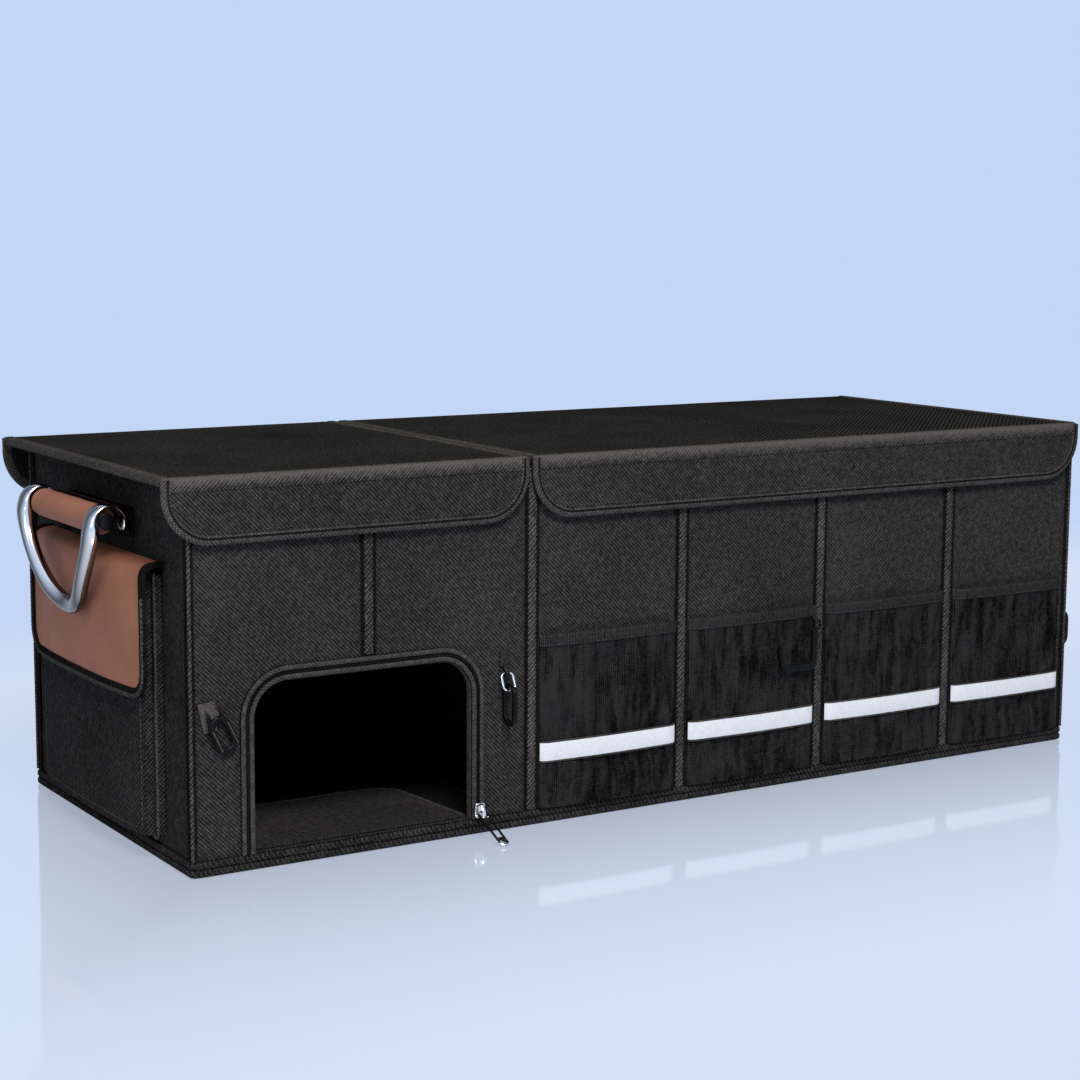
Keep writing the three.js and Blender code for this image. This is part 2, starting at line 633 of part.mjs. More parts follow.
// A hanging flap with rounded lower corners and a bound edge; side is -1 in front, +1 behind.
function lidFlap(x0, x1, side) {
  const top = LID_TOP - LID_EDGE_PROUD;
  const low = LID_TOP - FLAP_DROP;
  const face = side * (HALF_D + LID_OVERHANG - LID_EDGE_PROUD);
  const back = face - side * FLAP_THICK;
  const sheet = extrudeY(roundedBox(x0, low, x1, top, FLAP_RADIUS, 0), face, back);
  const border = new THREE.Shape();
  const w = LID_EDGE_WIDTH;
  border.moveTo(x0, top);
  border.lineTo(x0, low + FLAP_RADIUS);
  border.absarc(x0 + FLAP_RADIUS, low + FLAP_RADIUS, FLAP_RADIUS, Math.PI, Math.PI * 1.5, false);
  border.lineTo(x1 - FLAP_RADIUS, low);
  border.absarc(x1 - FLAP_RADIUS, low + FLAP_RADIUS, FLAP_RADIUS, -Math.PI / 2, 0, false);
  border.lineTo(x1, top);
  border.lineTo(x1 - w, top);
  border.lineTo(x1 - w, low + FLAP_RADIUS);
  border.absarc(x1 - FLAP_RADIUS, low + FLAP_RADIUS, FLAP_RADIUS - w, 0, -Math.PI / 2, true);
  border.lineTo(x0 + FLAP_RADIUS, low + w);
  border.absarc(x0 + FLAP_RADIUS, low + FLAP_RADIUS, FLAP_RADIUS - w, -Math.PI / 2, -Math.PI, true);
  border.lineTo(x0 + w, top);
  const edge = extrudeY(border, face + side * LID_EDGE_PROUD, back + side * FLAP_THICK * 0.3);
  const parts = [edge];
  if (LID_CREASE > x0 && LID_CREASE < x1) {
    const half = CREASE_WIDTH / 2;
    parts.push(box(LID_CREASE - half, LID_CREASE + half, Math.min(face + side * 0.5, face - side * 2),
      Math.max(face + side * 0.5, face - side * 2), low + w - 1, top));
  }
  return join(sheet, ...parts);
}

[['left', LID_LEFT, LID_SPLIT - LID_SPLIT_GAP / 2], ['right', LID_SPLIT + LID_SPLIT_GAP / 2, LID_RIGHT]]
  .forEach(([side, x0, x1]) => {
    piece(organizer, `${side}_lid`, lidPlate(x0, x1), CHARCOAL);
    piece(organizer, `${side}_front_flap`, lidFlap(x0, x1, -1), CHARCOAL);
    piece(organizer, `${side}_rear_flap`, lidFlap(x0, x1, 1), CHARCOAL);
  });

// Ends. Each is built for the left end with -X outwards from the wall's face, and turned for
// the right end.
function endFace(y) {
  const t = y / END_POCKET_HALF;
  return END_POCKET_EDGE + (END_POCKET_BELLY - END_POCKET_EDGE) * (1 - t * t);
}

function sidePocket() {
  const half = END_POCKET_HALF;
  const steps = 8;
  const ys = Array.from({ length: steps + 1 }, (_, i) => -half + (2 * half * i) / steps);
  const skin = END_POCKET_SKIN;
  const outer = ys.map((y) => [-endFace(y), y]);
  const inner = ys.map((y) => [-endFace(y) + skin, y * (1 - skin / half)]).reverse();
  const wall = polygon([[-SEW, -half], ...outer, [-SEW, half], [-SEW, half - skin], ...inner,
    [-SEW, -half + skin]]);
  const floorShape = polygon([[-SEW, -half + 0.2], ...ys.map((y) => [-endFace(y) + skin / 2, y * 0.998]),
    [-SEW, half - 0.2]]);
  const ribs = [-1, 1].map((sign) => {
    const centre = sign * (half + END_RIB_WIDTH / 2 - skin);
    const outline = roundedBox(centre - END_RIB_WIDTH / 2, END_POCKET_LOW - 3, centre + END_RIB_WIDTH / 2,
      END_POCKET_TOP, END_RIB_WIDTH / 2 - 0.2);
    return extrudeX(outline, -END_POCKET_EDGE + 1, -SEW, 4);
  });
  return join(extrudeZ(wall, END_POCKET_LOW, END_POCKET_TOP),
    extrudeZ(floorShape, END_POCKET_LOW, END_POCKET_LOW + skin), ...ribs);
}

// Leather flap: sewn to the wall above the pocket, bent over its mouth and hanging in front.
// The sheet follows the pocket's belly, so it is lofted from upright sections.
function leatherProfile(y, gap, thick) {
  const face = endFace(Math.max(-END_POCKET_HALF, Math.min(END_POCKET_HALF, y))) + gap;
  const top = END_POCKET_TOP + SEW + LOOSE;
  return [[SEW, top + thick], [face - 1, top + thick], [face + thick * 0.6, top + thick * 0.55],
    [face + thick, top - 1.5], [face + thick, 0], [face, 0], [face, top - 1], [face - 1, top],
    [SEW, top]];
}

function leatherLow(y) {
  const into = LEATHER_HALF - Math.abs(y);
  if (into >= LEATHER_RADIUS) return LEATHER_LOW;
  const rest = LEATHER_RADIUS - into;
  return LEATHER_LOW + LEATHER_RADIUS - Math.sqrt(LEATHER_RADIUS * LEATHER_RADIUS - rest * rest);
}

function leatherStations() {
  const corner = [0, 0.04, 0.15, 0.35, 0.62, 1].map((t) => LEATHER_HALF - t * LEATHER_RADIUS);
  const middle = [0.8, 0.5, 0, -0.5, -0.8].map((share) => share * (LEATHER_HALF - LEATHER_RADIUS));
  return [...corner, ...middle, ...corner.map((y) => -y).reverse()];
}

function leatherFlap() {
  return body(loft(leatherStations().map((y) => leatherProfile(y, SEW + LOOSE, LEATHER_THICK)
    .map(([out, z]) => new THREE.Vector3(-out, y, z === 0 ? leatherLow(y) : z)))));
}

function leatherBinding() {
  const gap = SEW + LOOSE + LEATHER_THICK + SEW;
  const top = END_POCKET_TOP - 1;
  const outer = leatherStations().map((y) => [y, leatherLow(y)]);
  const shrink = 1 - LEATHER_BINDING / LEATHER_HALF;
  const sections = [[LEATHER_HALF, top], ...outer, [-LEATHER_HALF, top]].map(([y, z]) => {
    const yi = y * shrink;
    const into = Math.max(0, (LEATHER_HALF - LEATHER_BINDING) - Math.abs(yi));
    const r = LEATHER_RADIUS - LEATHER_BINDING;
    const rest = Math.max(0, r - into);
    const zi = z === top ? top : LEATHER_LOW + LEATHER_BINDING + r - Math.sqrt(Math.max(0, r * r - rest * rest));
    const out = (side) => endFace(Math.max(-END_POCKET_HALF, Math.min(END_POCKET_HALF, side))) + gap;
    return [[out(y), y, z], [out(y) + LEATHER_BINDING_THICK, y, z],
      [out(yi) + LEATHER_BINDING_THICK, yi, zi], [out(yi), yi, zi]]
      .map(([o, a, b]) => new THREE.Vector3(-o, a, b));
  });
  return body(loft(sections));
}

// Grip: leather rolled round the rod, with a tongue that is sewn to the wall
function leatherGrip() {
  const [x, z] = [-HANDLE_OUT, HANDLE_HEIGHT];
  const roll = rodY(GRIP_RADIUS, -GRIP_HALF, GRIP_HALF, x, z, 20);
  const sewn = -SEW - GRIP_TONGUE_THICK;
  const [high, inner] = [z + GRIP_RADIUS * 0.75, x + GRIP_RADIUS / 3];
  const tongue = polygon([[-SEW, high], [sewn, high], [inner, z + GRIP_RADIUS * 0.82],
    [inner, z + GRIP_RADIUS / 6], [sewn, z - 1], [sewn, z - GRIP_TONGUE_LOW], [-SEW, z - GRIP_TONGUE_LOW]]);
  const bore = rodY(ROD_RADIUS + SEW, -GRIP_HALF - 1, GRIP_HALF + 1, x, z, 14);
  return cut(join(roll, extrudeY(tongue, -GRIP_HALF, GRIP_HALF)), bore);
}

function gripRod() {
  const [x, z] = [-HANDLE_OUT, HANDLE_HEIGHT];
  const reach = BAIL_HALF + EAR_THICK / 2 + SEW;
  const heads = [-1, 1].map((sign) => {
    const [a, b] = [sign * reach, sign * (reach + ROD_HEAD_THICK)];
    return rodY(ROD_HEAD_RADIUS, Math.min(a, b), Math.max(a, b), x, z, 14);
  });
  return join(rodY(ROD_RADIUS, -reach - 0.5, reach + 0.5, x, z, 14), ...heads);
}

// Bail: one formed bar. Its ends flare into flat hooks that wrap the rod from above, each with
// an ear inside that turns on the rod.
function bailPath() {
  const [cx, cz] = [-HANDLE_OUT, HANDLE_HEIGHT];
  const path = [];
  const hookSteps = 9;
  const wide = HOOK_WIDTH / 2;
  const thick = HOOK_THICK / 2;
  const root = HOOK_ROOT_THICK / 2;
  const wrap = Math.PI * 1.12;
  for (let i = 0; i <= hookSteps; i += 1) {
    const angle = wrap * (1 - i / hookSteps);
    const out = new THREE.Vector3(-Math.cos(angle), 0, Math.sin(angle));
    path.push({ at: new THREE.Vector3(cx, -BAIL_HALF, cz).addScaledVector(out, HOOK_RADIUS),
      normal: out, wide: i === 0 ? wide * 0.5 : wide, thick: thick + (root - thick) * (i / hookSteps) ** 3 });
  }
  // Down one arm: share of the half span, share of the drop, and how far the flat hook has
  // turned into round bar.
  const arm = [[0.98, 0.1, 0.15], [0.95, 0.22, 0.6], [0.88, 0.36, 1], [0.77, 0.52, 1], [0.62, 0.69, 1],
    [0.46, 0.84, 1], [0.3, 0.935, 1], [0.15, 0.985, 1], [0, 1, 1]];
  const apexOut = endFace(0) + SEW + LOOSE + LEATHER_THICK + BAIL_REST + BAIL_WIRE;
  arm.forEach(([y, drop, round]) => {
    const out = HOOK_RADIUS + (apexOut - HANDLE_OUT - HOOK_RADIUS) * drop * drop;
    path.push({
      at: new THREE.Vector3(cx - out, -BAIL_HALF * y, cz - BAIL_DROP * drop),
      normal: new THREE.Vector3(-1, 0, 0),
      wide: wide + (BAIL_WIRE - wide) * round,
      thick: root + (BAIL_WIRE - root) * round,
    });
  });
  const mirrored = path.slice(0, -1).reverse().map(({ at, normal, wide: w, thick: t }) => ({
    at: new THREE.Vector3(at.x, -at.y, at.z), normal, wide: w, thick: t }));
  return [...path, ...mirrored];
}

function handleBail() {
  const [x, z] = [-HANDLE_OUT, HANDLE_HEIGHT];
  const ears = [-1, 1].flatMap((sign) => {
    const [y0, y1] = [sign * BAIL_HALF - EAR_THICK / 2, sign * BAIL_HALF + EAR_THICK / 2];
    return [rodY(EAR_RADIUS, y0, y1, x, z, 18),
      box(x - HOOK_RADIUS, x - 2, y0, y1, z - EAR_RADIUS * 0.7, z + EAR_RADIUS * 0.7)];
  });
  const bore = rodY(ROD_RADIUS + ROD_CLEAR, -BAIL_HALF - 9, BAIL_HALF + 9, x, z, 18);
  return join(wire(bailPath(), 10), cut(join(...ears.slice(0, 2)), bore), cut(join(...ears.slice(2)), bore));
}

[['left', -1], ['right', 1]].forEach(([side, sign]) => {
  const end = new THREE.Group();
  end.position.set(sign * HALF_L, 0, 0);
  end.rotation.z = sign < 0 ? 0 : Math.PI;
  organizer.add(end);
  piece(end, `${side}_end_pocket`, sidePocket(), CHARCOAL);
  piece(end, `${side}_leather_flap`, leatherFlap(), LEATHER_BROWN, 0.6);
  piece(end, `${side}_flap_binding`, leatherBinding(), CHARCOAL_EDGE);
  piece(end, `${side}_leather_grip`, leatherGrip(), LEATHER_BROWN, 0.55);
  piece(end, `${side}_grip_rod`, gripRod(), ALUMINIUM, 0.3, 1);
  piece(end, `${side}_handle_bail`, handleBail(), ALUMINIUM, 0.12, 1);
});

// Strap clips. In each group +Z is up, -Y is away from what the tab is sewn to, and the origin is
// under the centre of the tab's webbing loop.
function webbingTab(patchLow, patchHigh, patchLeft, patchRight, tilt = 0) {
  const [half, back, face] = [LOOP_WIDTH / 2, -SEW, -SEW - TAB_THICK];
  const patch = box(patchLeft, patchRight, face, back, patchLow, patchHigh);
  const fold = extrudeX(polygon([[back, 9], [face, 9], [-LOOP_OUT - LOOP_RADIUS * 0.9, LOOP_RADIUS * 0.4],
    [-LOOP_OUT, LOOP_HOLE], [back, LOOP_HOLE + 0.4]]), -half, half);
  const loop = new THREE.CylinderGeometry(LOOP_RADIUS, LOOP_RADIUS, LOOP_WIDTH, 14).rotateZ(Math.PI / 2)
    .rotateY(tilt).translate(0, -LOOP_OUT, 0);
  const hole = new THREE.CylinderGeometry(LOOP_HOLE, LOOP_HOLE, LOOP_WIDTH * 3, 14).rotateZ(Math.PI / 2)
    .rotateY(tilt).translate(0, -LOOP_OUT, 0);
  return cut(join(patch, fold, loop), hole);
}

// Points round a rounded box in the plane X-Z, its upper bar at z = 0, for a closed ring of wire.
function ringPath(width, high, radius, across, flat) {
  const path = [];
  const [a, b] = [width / 2 - radius, high / 2 - radius];
  [[a, b, 0], [-a, b, 1], [-a, -b, 2], [a, -b, 3]].forEach(([x, z, quarter]) => {
    for (let i = 0; i <= 4; i += 1) {
      const angle = (quarter + i / 4) * (Math.PI / 2);
      path.push({
        at: new THREE.Vector3(x + radius * Math.cos(angle), 0, z + radius * Math.sin(angle) - high / 2),
        normal: new THREE.Vector3(0, -1, 0), wide: across / 2, thick: flat / 2,
      });
    }
  });
  return path;
}

// Narrow eye at the head of a clip: its upper bar turns in the webbing loop.
function clipEye() {
  return wire(ringPath(LOOP_WIDTH + EYE_WIRE + LOOSE, EYE_HEIGHT, EYE_WIRE * 0.6, EYE_WIRE, EYE_WIRE), 8, true);
}

// Oval snap clip: a closed black loop whose gate is a thicker bar on one side.
function snapLoop(width, high) {
  const [across, down] = [width - CLIP_WIRE, high - CLIP_WIRE];
  const frame = wire(ringPath(across, down, across / 2 - 0.5, CLIP_WIRE, CLIP_FLAT), 8, true);
  const gate = box(across / 2 - CLIP_WIRE * 0.3, across / 2 + CLIP_WIRE * 0.62, -CLIP_FLAT * 0.42,
    CLIP_FLAT * 0.42, -high * 0.66, -high * 0.26);
  return join(frame, gate);
}

// Broad open hook: a U whose long leg hangs from the eye at x = 0 and whose short one is free.
function strapHook() {
  const [bar, reach, deep] = [STRAP_HOOK_BAR, STRAP_HOOK_WIDTH, STRAP_HOOK_HEIGHT];
  const [right, left] = [bar / 2, bar / 2 - reach];
  const shape = new THREE.Shape();
  shape.moveTo(right, -EYE_HEIGHT + 1);
  shape.lineTo(right, -deep + bar);
  shape.quadraticCurveTo(right, -deep, right - bar, -deep);
  shape.lineTo(left + bar * 1.4, -deep);
  shape.quadraticCurveTo(left + bar * 0.7, -deep, left + bar * 0.6, -deep + bar * 0.6);
  shape.lineTo(left, -deep * 0.42);
  shape.quadraticCurveTo(left + bar * 0.3, -deep * 0.36, left + bar, -deep * 0.4);
  shape.lineTo(left + bar * 1.7, -deep + bar * 1.3);
  shape.lineTo(right - bar * 2, -deep + bar * 1.6);
  shape.quadraticCurveTo(right - bar, -deep + bar * 1.6, right - bar, -deep + bar * 2.6);
  shape.lineTo(right - bar, -EYE_HEIGHT + 1);
  return join(extrudeY(shape, -CLIP_FLAT / 2, CLIP_FLAT / 2, 4), clipEye());
}

function turned(parent, position, axis, angle) {
  const group = new THREE.Group();
  group.position.set(...position);
  group.rotation[axis] = angle;
  parent.add(group);
  return group;
}

// Beside the left front corner: a wide webbing tab whose clip hangs askew
const cornerClip = turned(organizer, [CORNER_CLIP_X, FRONT, CORNER_CLIP_Z], 'z', 0);
piece(cornerClip, 'corner_clip_tab',
  webbingTab(-CORNER_TAB_LOW, CORNER_TAB_HIGH, -7, 5, -CORNER_CLIP_TILT), CHARCOAL_EDGE, 0.8);
const cornerHang = turned(cornerClip, [0, -LOOP_OUT, 0], 'y', -CORNER_CLIP_TILT);
piece(cornerHang, 'corner_clip_hook',
  join(clipEye(), snapLoop(CORNER_SNAP_WIDTH, CORNER_SNAP_HEIGHT).translate(0, 0, -EYE_HEIGHT + CLIP_WIRE / 2)),
  BLACK_PLASTIC, 0.4);

// Beside the doorway and on the right end: tab, metal ring, and a snap clip set across the ring
const ringTilt = Math.asin((SNAP_WIDTH / 2 + SEW + 0.4 - LOOP_OUT) / RING_HEIGHT);
const doorClipX = (DOOR_LEFT + DOOR_WIDTH + TAPE_WIDTH + seamPlaces[1] - SEAM_WIDTH / 2) / 2;
[['door', [doorClipX, FRONT, RING_CLIP_Z], 0], ['end', [HALF_L, END_CLIP_Y, RING_CLIP_Z], Math.PI / 2]]
  .forEach(([side, place, turn]) => {
    const clip = turned(organizer, place, 'z', turn);
    piece(clip, `${side}_clip_tab`,
      webbingTab(RING_TAB_LOW, RING_TAB_HIGH, -LOOP_WIDTH / 2, LOOP_WIDTH / 2), CHARCOAL_EDGE, 0.8);
    const ringHang = turned(clip, [0, -LOOP_OUT, 0], 'x', -ringTilt);
    const across = LOOP_WIDTH + RING_WIRE + LOOSE;
    piece(ringHang, `${side}_clip_ring`,
      body(wire(ringPath(across, RING_HEIGHT, RING_CORNER, RING_WIRE, RING_WIRE), 8, true)), ALUMINIUM, 0.2, 1);
    const foot = [0, -LOOP_OUT - RING_HEIGHT * Math.sin(ringTilt), -RING_HEIGHT * Math.cos(ringTilt)];
    const hookHang = turned(clip, foot, 'z', -Math.PI / 2);
    piece(hookHang, `${side}_clip_hook`,
      snapLoop(SNAP_WIDTH, RING_SNAP_HEIGHT).translate(0, 0, RING_WIRE / 2 + SEW + CLIP_WIRE / 2),
      BLACK_PLASTIC, 0.4);
  });

// On the hem of the second mesh pocket: a broad strap hook beside the seam
const secondPocket = [pocketEdges[1] + SEAM_WIDTH / 2 + SEW, pocketEdges[2] - SEAM_WIDTH / 2 - SEW];
const panelClipX = secondPocket[1] - LOOP_WIDTH / 2 - EYE_WIRE;
const panelClip = turned(organizer,
  [panelClipX, pocketFace(panelClipX, ...secondPocket) - BAND_PROUD - SEW, PANEL_CLIP_Z], 'z', 0);
piece(panelClip, 'panel_clip_tab',
  webbingTab(PANEL_TAB_LOW, PANEL_TAB_HIGH, -LOOP_WIDTH / 2, LOOP_WIDTH / 2), CHARCOAL_EDGE, 0.8);
const panelHang = turned(panelClip, [0, -LOOP_OUT, 0], 'y', 0);
piece(panelHang, 'panel_clip_hook', strapHook(), BLACK_PLASTIC, 0.4);

export default organizer;
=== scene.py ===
"""Looks of the car organizer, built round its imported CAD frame. Sizes in the code are
millimetres, and every mesh is made in metres."""
import math
from math import pi

import bpy
import bmesh
import numpy as np
from mathutils import Matrix, Vector


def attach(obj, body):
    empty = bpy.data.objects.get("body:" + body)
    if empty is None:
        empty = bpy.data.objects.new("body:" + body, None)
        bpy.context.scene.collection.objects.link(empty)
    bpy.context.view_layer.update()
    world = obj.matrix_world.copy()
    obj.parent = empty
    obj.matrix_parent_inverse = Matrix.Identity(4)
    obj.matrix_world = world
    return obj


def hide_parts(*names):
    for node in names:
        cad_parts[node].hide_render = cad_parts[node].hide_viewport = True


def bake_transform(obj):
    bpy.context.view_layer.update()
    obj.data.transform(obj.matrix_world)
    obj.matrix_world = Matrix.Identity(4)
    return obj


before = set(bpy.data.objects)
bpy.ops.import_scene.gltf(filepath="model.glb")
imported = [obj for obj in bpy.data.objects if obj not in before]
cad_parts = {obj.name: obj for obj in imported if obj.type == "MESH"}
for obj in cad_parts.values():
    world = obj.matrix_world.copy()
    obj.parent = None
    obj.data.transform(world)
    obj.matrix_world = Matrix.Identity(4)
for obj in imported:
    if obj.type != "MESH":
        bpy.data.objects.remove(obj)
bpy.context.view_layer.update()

# Sizes of the frame, as in the part's source
HALF_L, HALF_D, WALL, TOP = 480.0, 180.0, 5.0, 320.0
FLOOR, BOARD_TOP, PITCH = 5.3, 8.3, 160.0
SEAMS = [-320.0, -160.0, 0.0, 160.0, 320.0]
BINDING = 13.6
DOOR_L, DOOR_R, DOOR_LOW, DOOR_HIGH, DOOR_RADIUS = -426.0, -221.0, 14.0, 156.0, 31.0
POCKETS = [(-152.7, -7.3), (7.3, 152.7), (167.3, 312.7), (327.3, 470.7)]
LIDS = {"left": (-505.0, -167.0), "right": (-163.0, 484.0)}
FLAP_LOW, FLAP_RADIUS, LID_Z = 272.0, 42.0, 327.2
CREASE = 160.0
HANDLE_OUT, HANDLE_Z = 29.0, 281.0
FLAP_HALF, FLAP_FOOT, FLAP_CORNER = 132, 138, 24

# Directions that a sweep's or a stitch's face looks to
FRONT, UP, OUT = (0, -1, 0), (0, 0, 1), (1, 0, 0)


def add_object(name, data):
    thing = bpy.data.objects.new(name, data)
    bpy.context.scene.collection.objects.link(thing)
    return thing


def make_camera():
    """Camera at the photograph's viewing angle."""
    yaw, pitch, roll = 0.5599, 0.1461, 0.0064
    camera = add_object("camera", bpy.data.cameras.new("camera"))
    place = Matrix.Translation((-1.184084, -1.826968, 0.539137))
    camera.matrix_world = (place @ Matrix.Rotation(-yaw, 4, "Z") @ Matrix.Rotation(pi / 2 - pitch, 4, "X")
                           @ Matrix.Rotation(roll, 4, "Z"))
    camera.data.sensor_width = 36
    camera.data.lens = 75.42
    camera.data.clip_end = 60
    bpy.context.scene.camera = camera


make_camera()


# Grids and lines of points
def pile(*columns):
    """The given grids side by side in a new last axis; a single number fills its column."""
    return np.stack(np.broadcast_arrays(*columns), -1)


def grid(first, second):
    return np.meshgrid(first, second, indexing="ij")


def unit(v):
    return v / np.maximum(np.linalg.norm(v, axis=-1, keepdims=True), 1e-12)


def run_length(points):
    """Distance along a polyline, at each of its points."""
    return np.concatenate([[0], np.cumsum(np.linalg.norm(np.diff(points, axis=0), axis=1))])


def resample(points, step, closed=False):
    """Evenly spaced points along a polyline."""
    points = np.asarray(points, float)
    if closed:
        points = np.concatenate([points, points[:1]])
    s = run_length(points)
    at = np.linspace(0, s[-1], max(2, int(round(s[-1] / step)) + 1))
    out = pile(*(np.interp(at, s, column) for column in points.T))
    return out[:-1] if closed else out


def smooth(points, times=4):
    """Extra points on a smooth curve through the given ones."""
    p = np.asarray(points, float)
    q = np.concatenate([[2 * p[0] - p[1]], p, [2 * p[-1] - p[-2]]])
    out = []
    for i in range(1, len(q) - 2):
        for t in np.arange(times) / times:
            out.append(0.5 * (2 * q[i] + (q[i + 1] - q[i - 1]) * t
                              + (2 * q[i - 1] - 5 * q[i] + 4 * q[i + 1] - q[i + 2]) * t * t
                              + (3 * q[i] - q[i - 1] - 3 * q[i + 1] + q[i + 2]) * t ** 3))
    return np.array(out + [p[-1]])


def arc(cx, cz, radius, start, end, count):
    angle = np.linspace(start, end, count)
    return pile(cx + radius * np.cos(angle), cz + radius * np.sin(angle))


def arch(left, right, foot, top, radius, count):
    """From one foot round two corners to the other; with its top below its feet it hangs."""
    way = 1 if top > foot else -1
    mid, middle = top - way * radius, pi - way * pi / 2
    return np.concatenate([[[left, foot]], arc(left + radius, mid, radius, pi, middle, count),
                           arc(right - radius, mid, radius, middle, pi - way * pi, count), [[right, foot]]])


def rounded_box(half_x, half_z, radius, count=6):
    corners = enumerate(((1, 1), (-1, 1), (-1, -1), (1, -1)))
    return np.concatenate([arc(sx * (half_x - radius), sz * (half_z - radius), radius, i * pi / 2,
                               (i + 1) * pi / 2, count) for i, (sx, sz) in corners])


def waist(x0, x1, turn, count):
    """Places from x0 to x1, closer together towards both ends."""
    return (x0 + x1) / 2 + (x1 - x0) / 2 * np.sin(np.linspace(-turn, turn, count)) / math.sin(turn)


def standing(flat, y):
    """An outline of (x, z) pairs, stood up at the given y."""
    return pile(flat[:, 0], y, flat[:, 1])


def both_sides(*half):
    """A profile from the points of its left half."""
    return [*half, *((-a, b) for a, b in half[::-1])]


def clamp(values, low=0, high=1):
    return np.clip(values, low, high)


def least(*values):
    return np.min(np.broadcast_arrays(*values), axis=0)


def bell(t):
    return np.exp(-t ** 2)


def ripple(a, b, seed, scale, waves=7):
    """Smooth uneven waves of about one unit, the same at each run."""
    rng = np.random.default_rng(abs(seed))
    total = np.zeros(np.broadcast(a, b).shape)
    for _ in range(waves):
        angle, size = rng.uniform(0, pi), scale * rng.uniform(0.6, 1.8)
        along = a * math.cos(angle) + b * math.sin(angle)
        total = total + np.sin(2 * pi * along / size + rng.uniform(0, 6.3))
    return total / math.sqrt(waves) / 1.4


# Mesh parts: corners, lists of faces with their flow coordinates, and a material's number
def part(verts, faces, mat=0):
    return dict(v=np.asarray(verts, float).reshape(-1, 3), faces=faces, mat=mat)


def moved(p, matrix=None, shift=(0, 0, 0)):
    """The part turned by a matrix and shifted."""
    v = p["v"] if matrix is None else p["v"] @ np.array(matrix, float)[:3, :3].T
    return dict(p, v=v + np.asarray(shift, float))


def make(name, parts, materials, body, replaces=None, sharp=38, blend=None):
    """One object of several parts, placed on its body."""
    offset, verts, loops, counts, mats, uvs = 0, [], [], [], [], []
    for p in parts:
        verts.append(p["v"])
        for faces, uv in p["faces"]:
            loops.append((faces + offset).ravel())
            counts.append(np.full(len(faces), faces.shape[1]))
            mats.append(np.broadcast_to(p["mat"], len(faces)))
            uvs.append(uv.reshape(-1, 2))
        offset += len(p["v"])
    verts, loops, counts, mats, uvs = map(np.concatenate, (verts, loops, counts, mats, uvs))
    used, loops = np.unique(loops, return_inverse=True)
    mesh = bpy.data.meshes.new(name)
    mesh.vertices.add(len(used))
    mesh.vertices.foreach_set("co", (verts[used] / 1000).astype(np.float32).ravel())
    mesh.loops.add(len(loops))
    mesh.loops.foreach_set("vertex_index", loops.astype(np.int32).ravel())
    mesh.polygons.add(len(counts))
    mesh.polygons.foreach_set("loop_start", np.concatenate([[0], np.cumsum(counts)[:-1]]).astype(np.int32))
    mesh.polygons.foreach_set("material_index", mats.astype(np.int32))
    flow = mesh.uv_layers.new(name="flow")
    flow.data.foreach_set("uv", (uvs / 1000).astype(np.float32).ravel())
    mesh.update(calc_edges=True)
    mesh.validate()
    for material in materials:
        mesh.materials.append(material)
    turn = bmesh.new()
    turn.from_mesh(mesh)
    bmesh.ops.recalc_face_normals(turn, faces=turn.faces)
    turn.to_mesh(mesh)
    turn.free()
    mesh.shade_smooth()
    mesh.set_sharp_from_angle(angle=math.radians(sharp))
    thing = add_object(name, mesh)
    if blend:
        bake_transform(thing)
    else:
        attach(thing, body)
    if replaces:
        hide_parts(replaces)
    return thing


def loft(rings, closed=False, s=None, mat=0):
    """Body through matching rings of corners; s is the flow coordinate of each ring."""
    rings = np.asarray(rings, float)
    n, k = rings.shape[:2]
    if s is None:
        s = run_length(rings.mean(1))
    girth = np.linalg.norm(np.roll(rings, -1, 1) - rings, axis=2).mean(0)
    w = np.concatenate([[0], np.cumsum(girth)])
    i, j = (g.ravel() for g in grid(np.arange(n if closed else n - 1), np.arange(k)))
    i2, j2 = (i + 1) % n, (j + 1) % k
    quads = pile(i * k + j, i * k + j2, i2 * k + j2, i2 * k + j)
    s2 = np.where(i2 > i, s[i2], s[i] + (s[1] - s[0]))
    uv = np.stack([pile(s[i], w[j]), pile(s[i], w[j + 1]), pile(s2, w[j + 1]), pile(s2, w[j])], 1)
    verts, faces = rings.reshape(-1, 3), [(quads, uv)]
    if not closed:
        verts = np.concatenate([verts, rings[:1].mean(1), rings[-1:].mean(1)])
        a = np.arange(k)
        b = (a + 1) % k
        tris = np.concatenate([pile(b, a, n * k), pile(a + (n - 1) * k, b + (n - 1) * k, n * k + 1)])
        faces.append((tris, verts[tris][:, :, :2]))
    return part(verts, faces, mat)


def frames(points, ups, closed=False):
    """Points, and at each the way along, the way up and the way to the side."""
    p = np.asarray(points, float)
    after, before = np.roll(p, -1, 0), np.roll(p, 1, 0)
    if not closed:
        after[-1], before[0] = p[-1], p[0]
    t = unit(after - before)
    u = np.broadcast_to(np.asarray(ups, float), p.shape)
    u = unit(u - (u * t).sum(1, keepdims=True) * t)
    return p, t, u, np.cross(t, u)


def sweep(points, ups, profile, closed=False, mat=0, grow=None):
    """A profile of (side, up) pairs carried along points. grow(s, k) scales it, if given."""
    p, _, u, w = frames(points, ups, closed)
    profile, s = np.asarray(profile, float), run_length(p)
    if grow:
        profile = profile * grow(s[:, None], np.arange(profile.shape[-2]))[..., None]
    return loft(p[:, None] + w[:, None] * profile[..., :1] + u[:, None] * profile[..., 1:2], closed, s, mat)


def oval(a, b, sides=10, power=1.0):
    """Outline of a cord or rod; a power under 1 makes it squarer."""
    angle = (np.arange(sides) + 0.5) / sides * 2 * pi
    c, s = np.cos(angle), np.sin(angle)
    return pile(a * np.sign(c) * np.abs(c) ** power, b * np.sign(s) * np.abs(s) ** power)


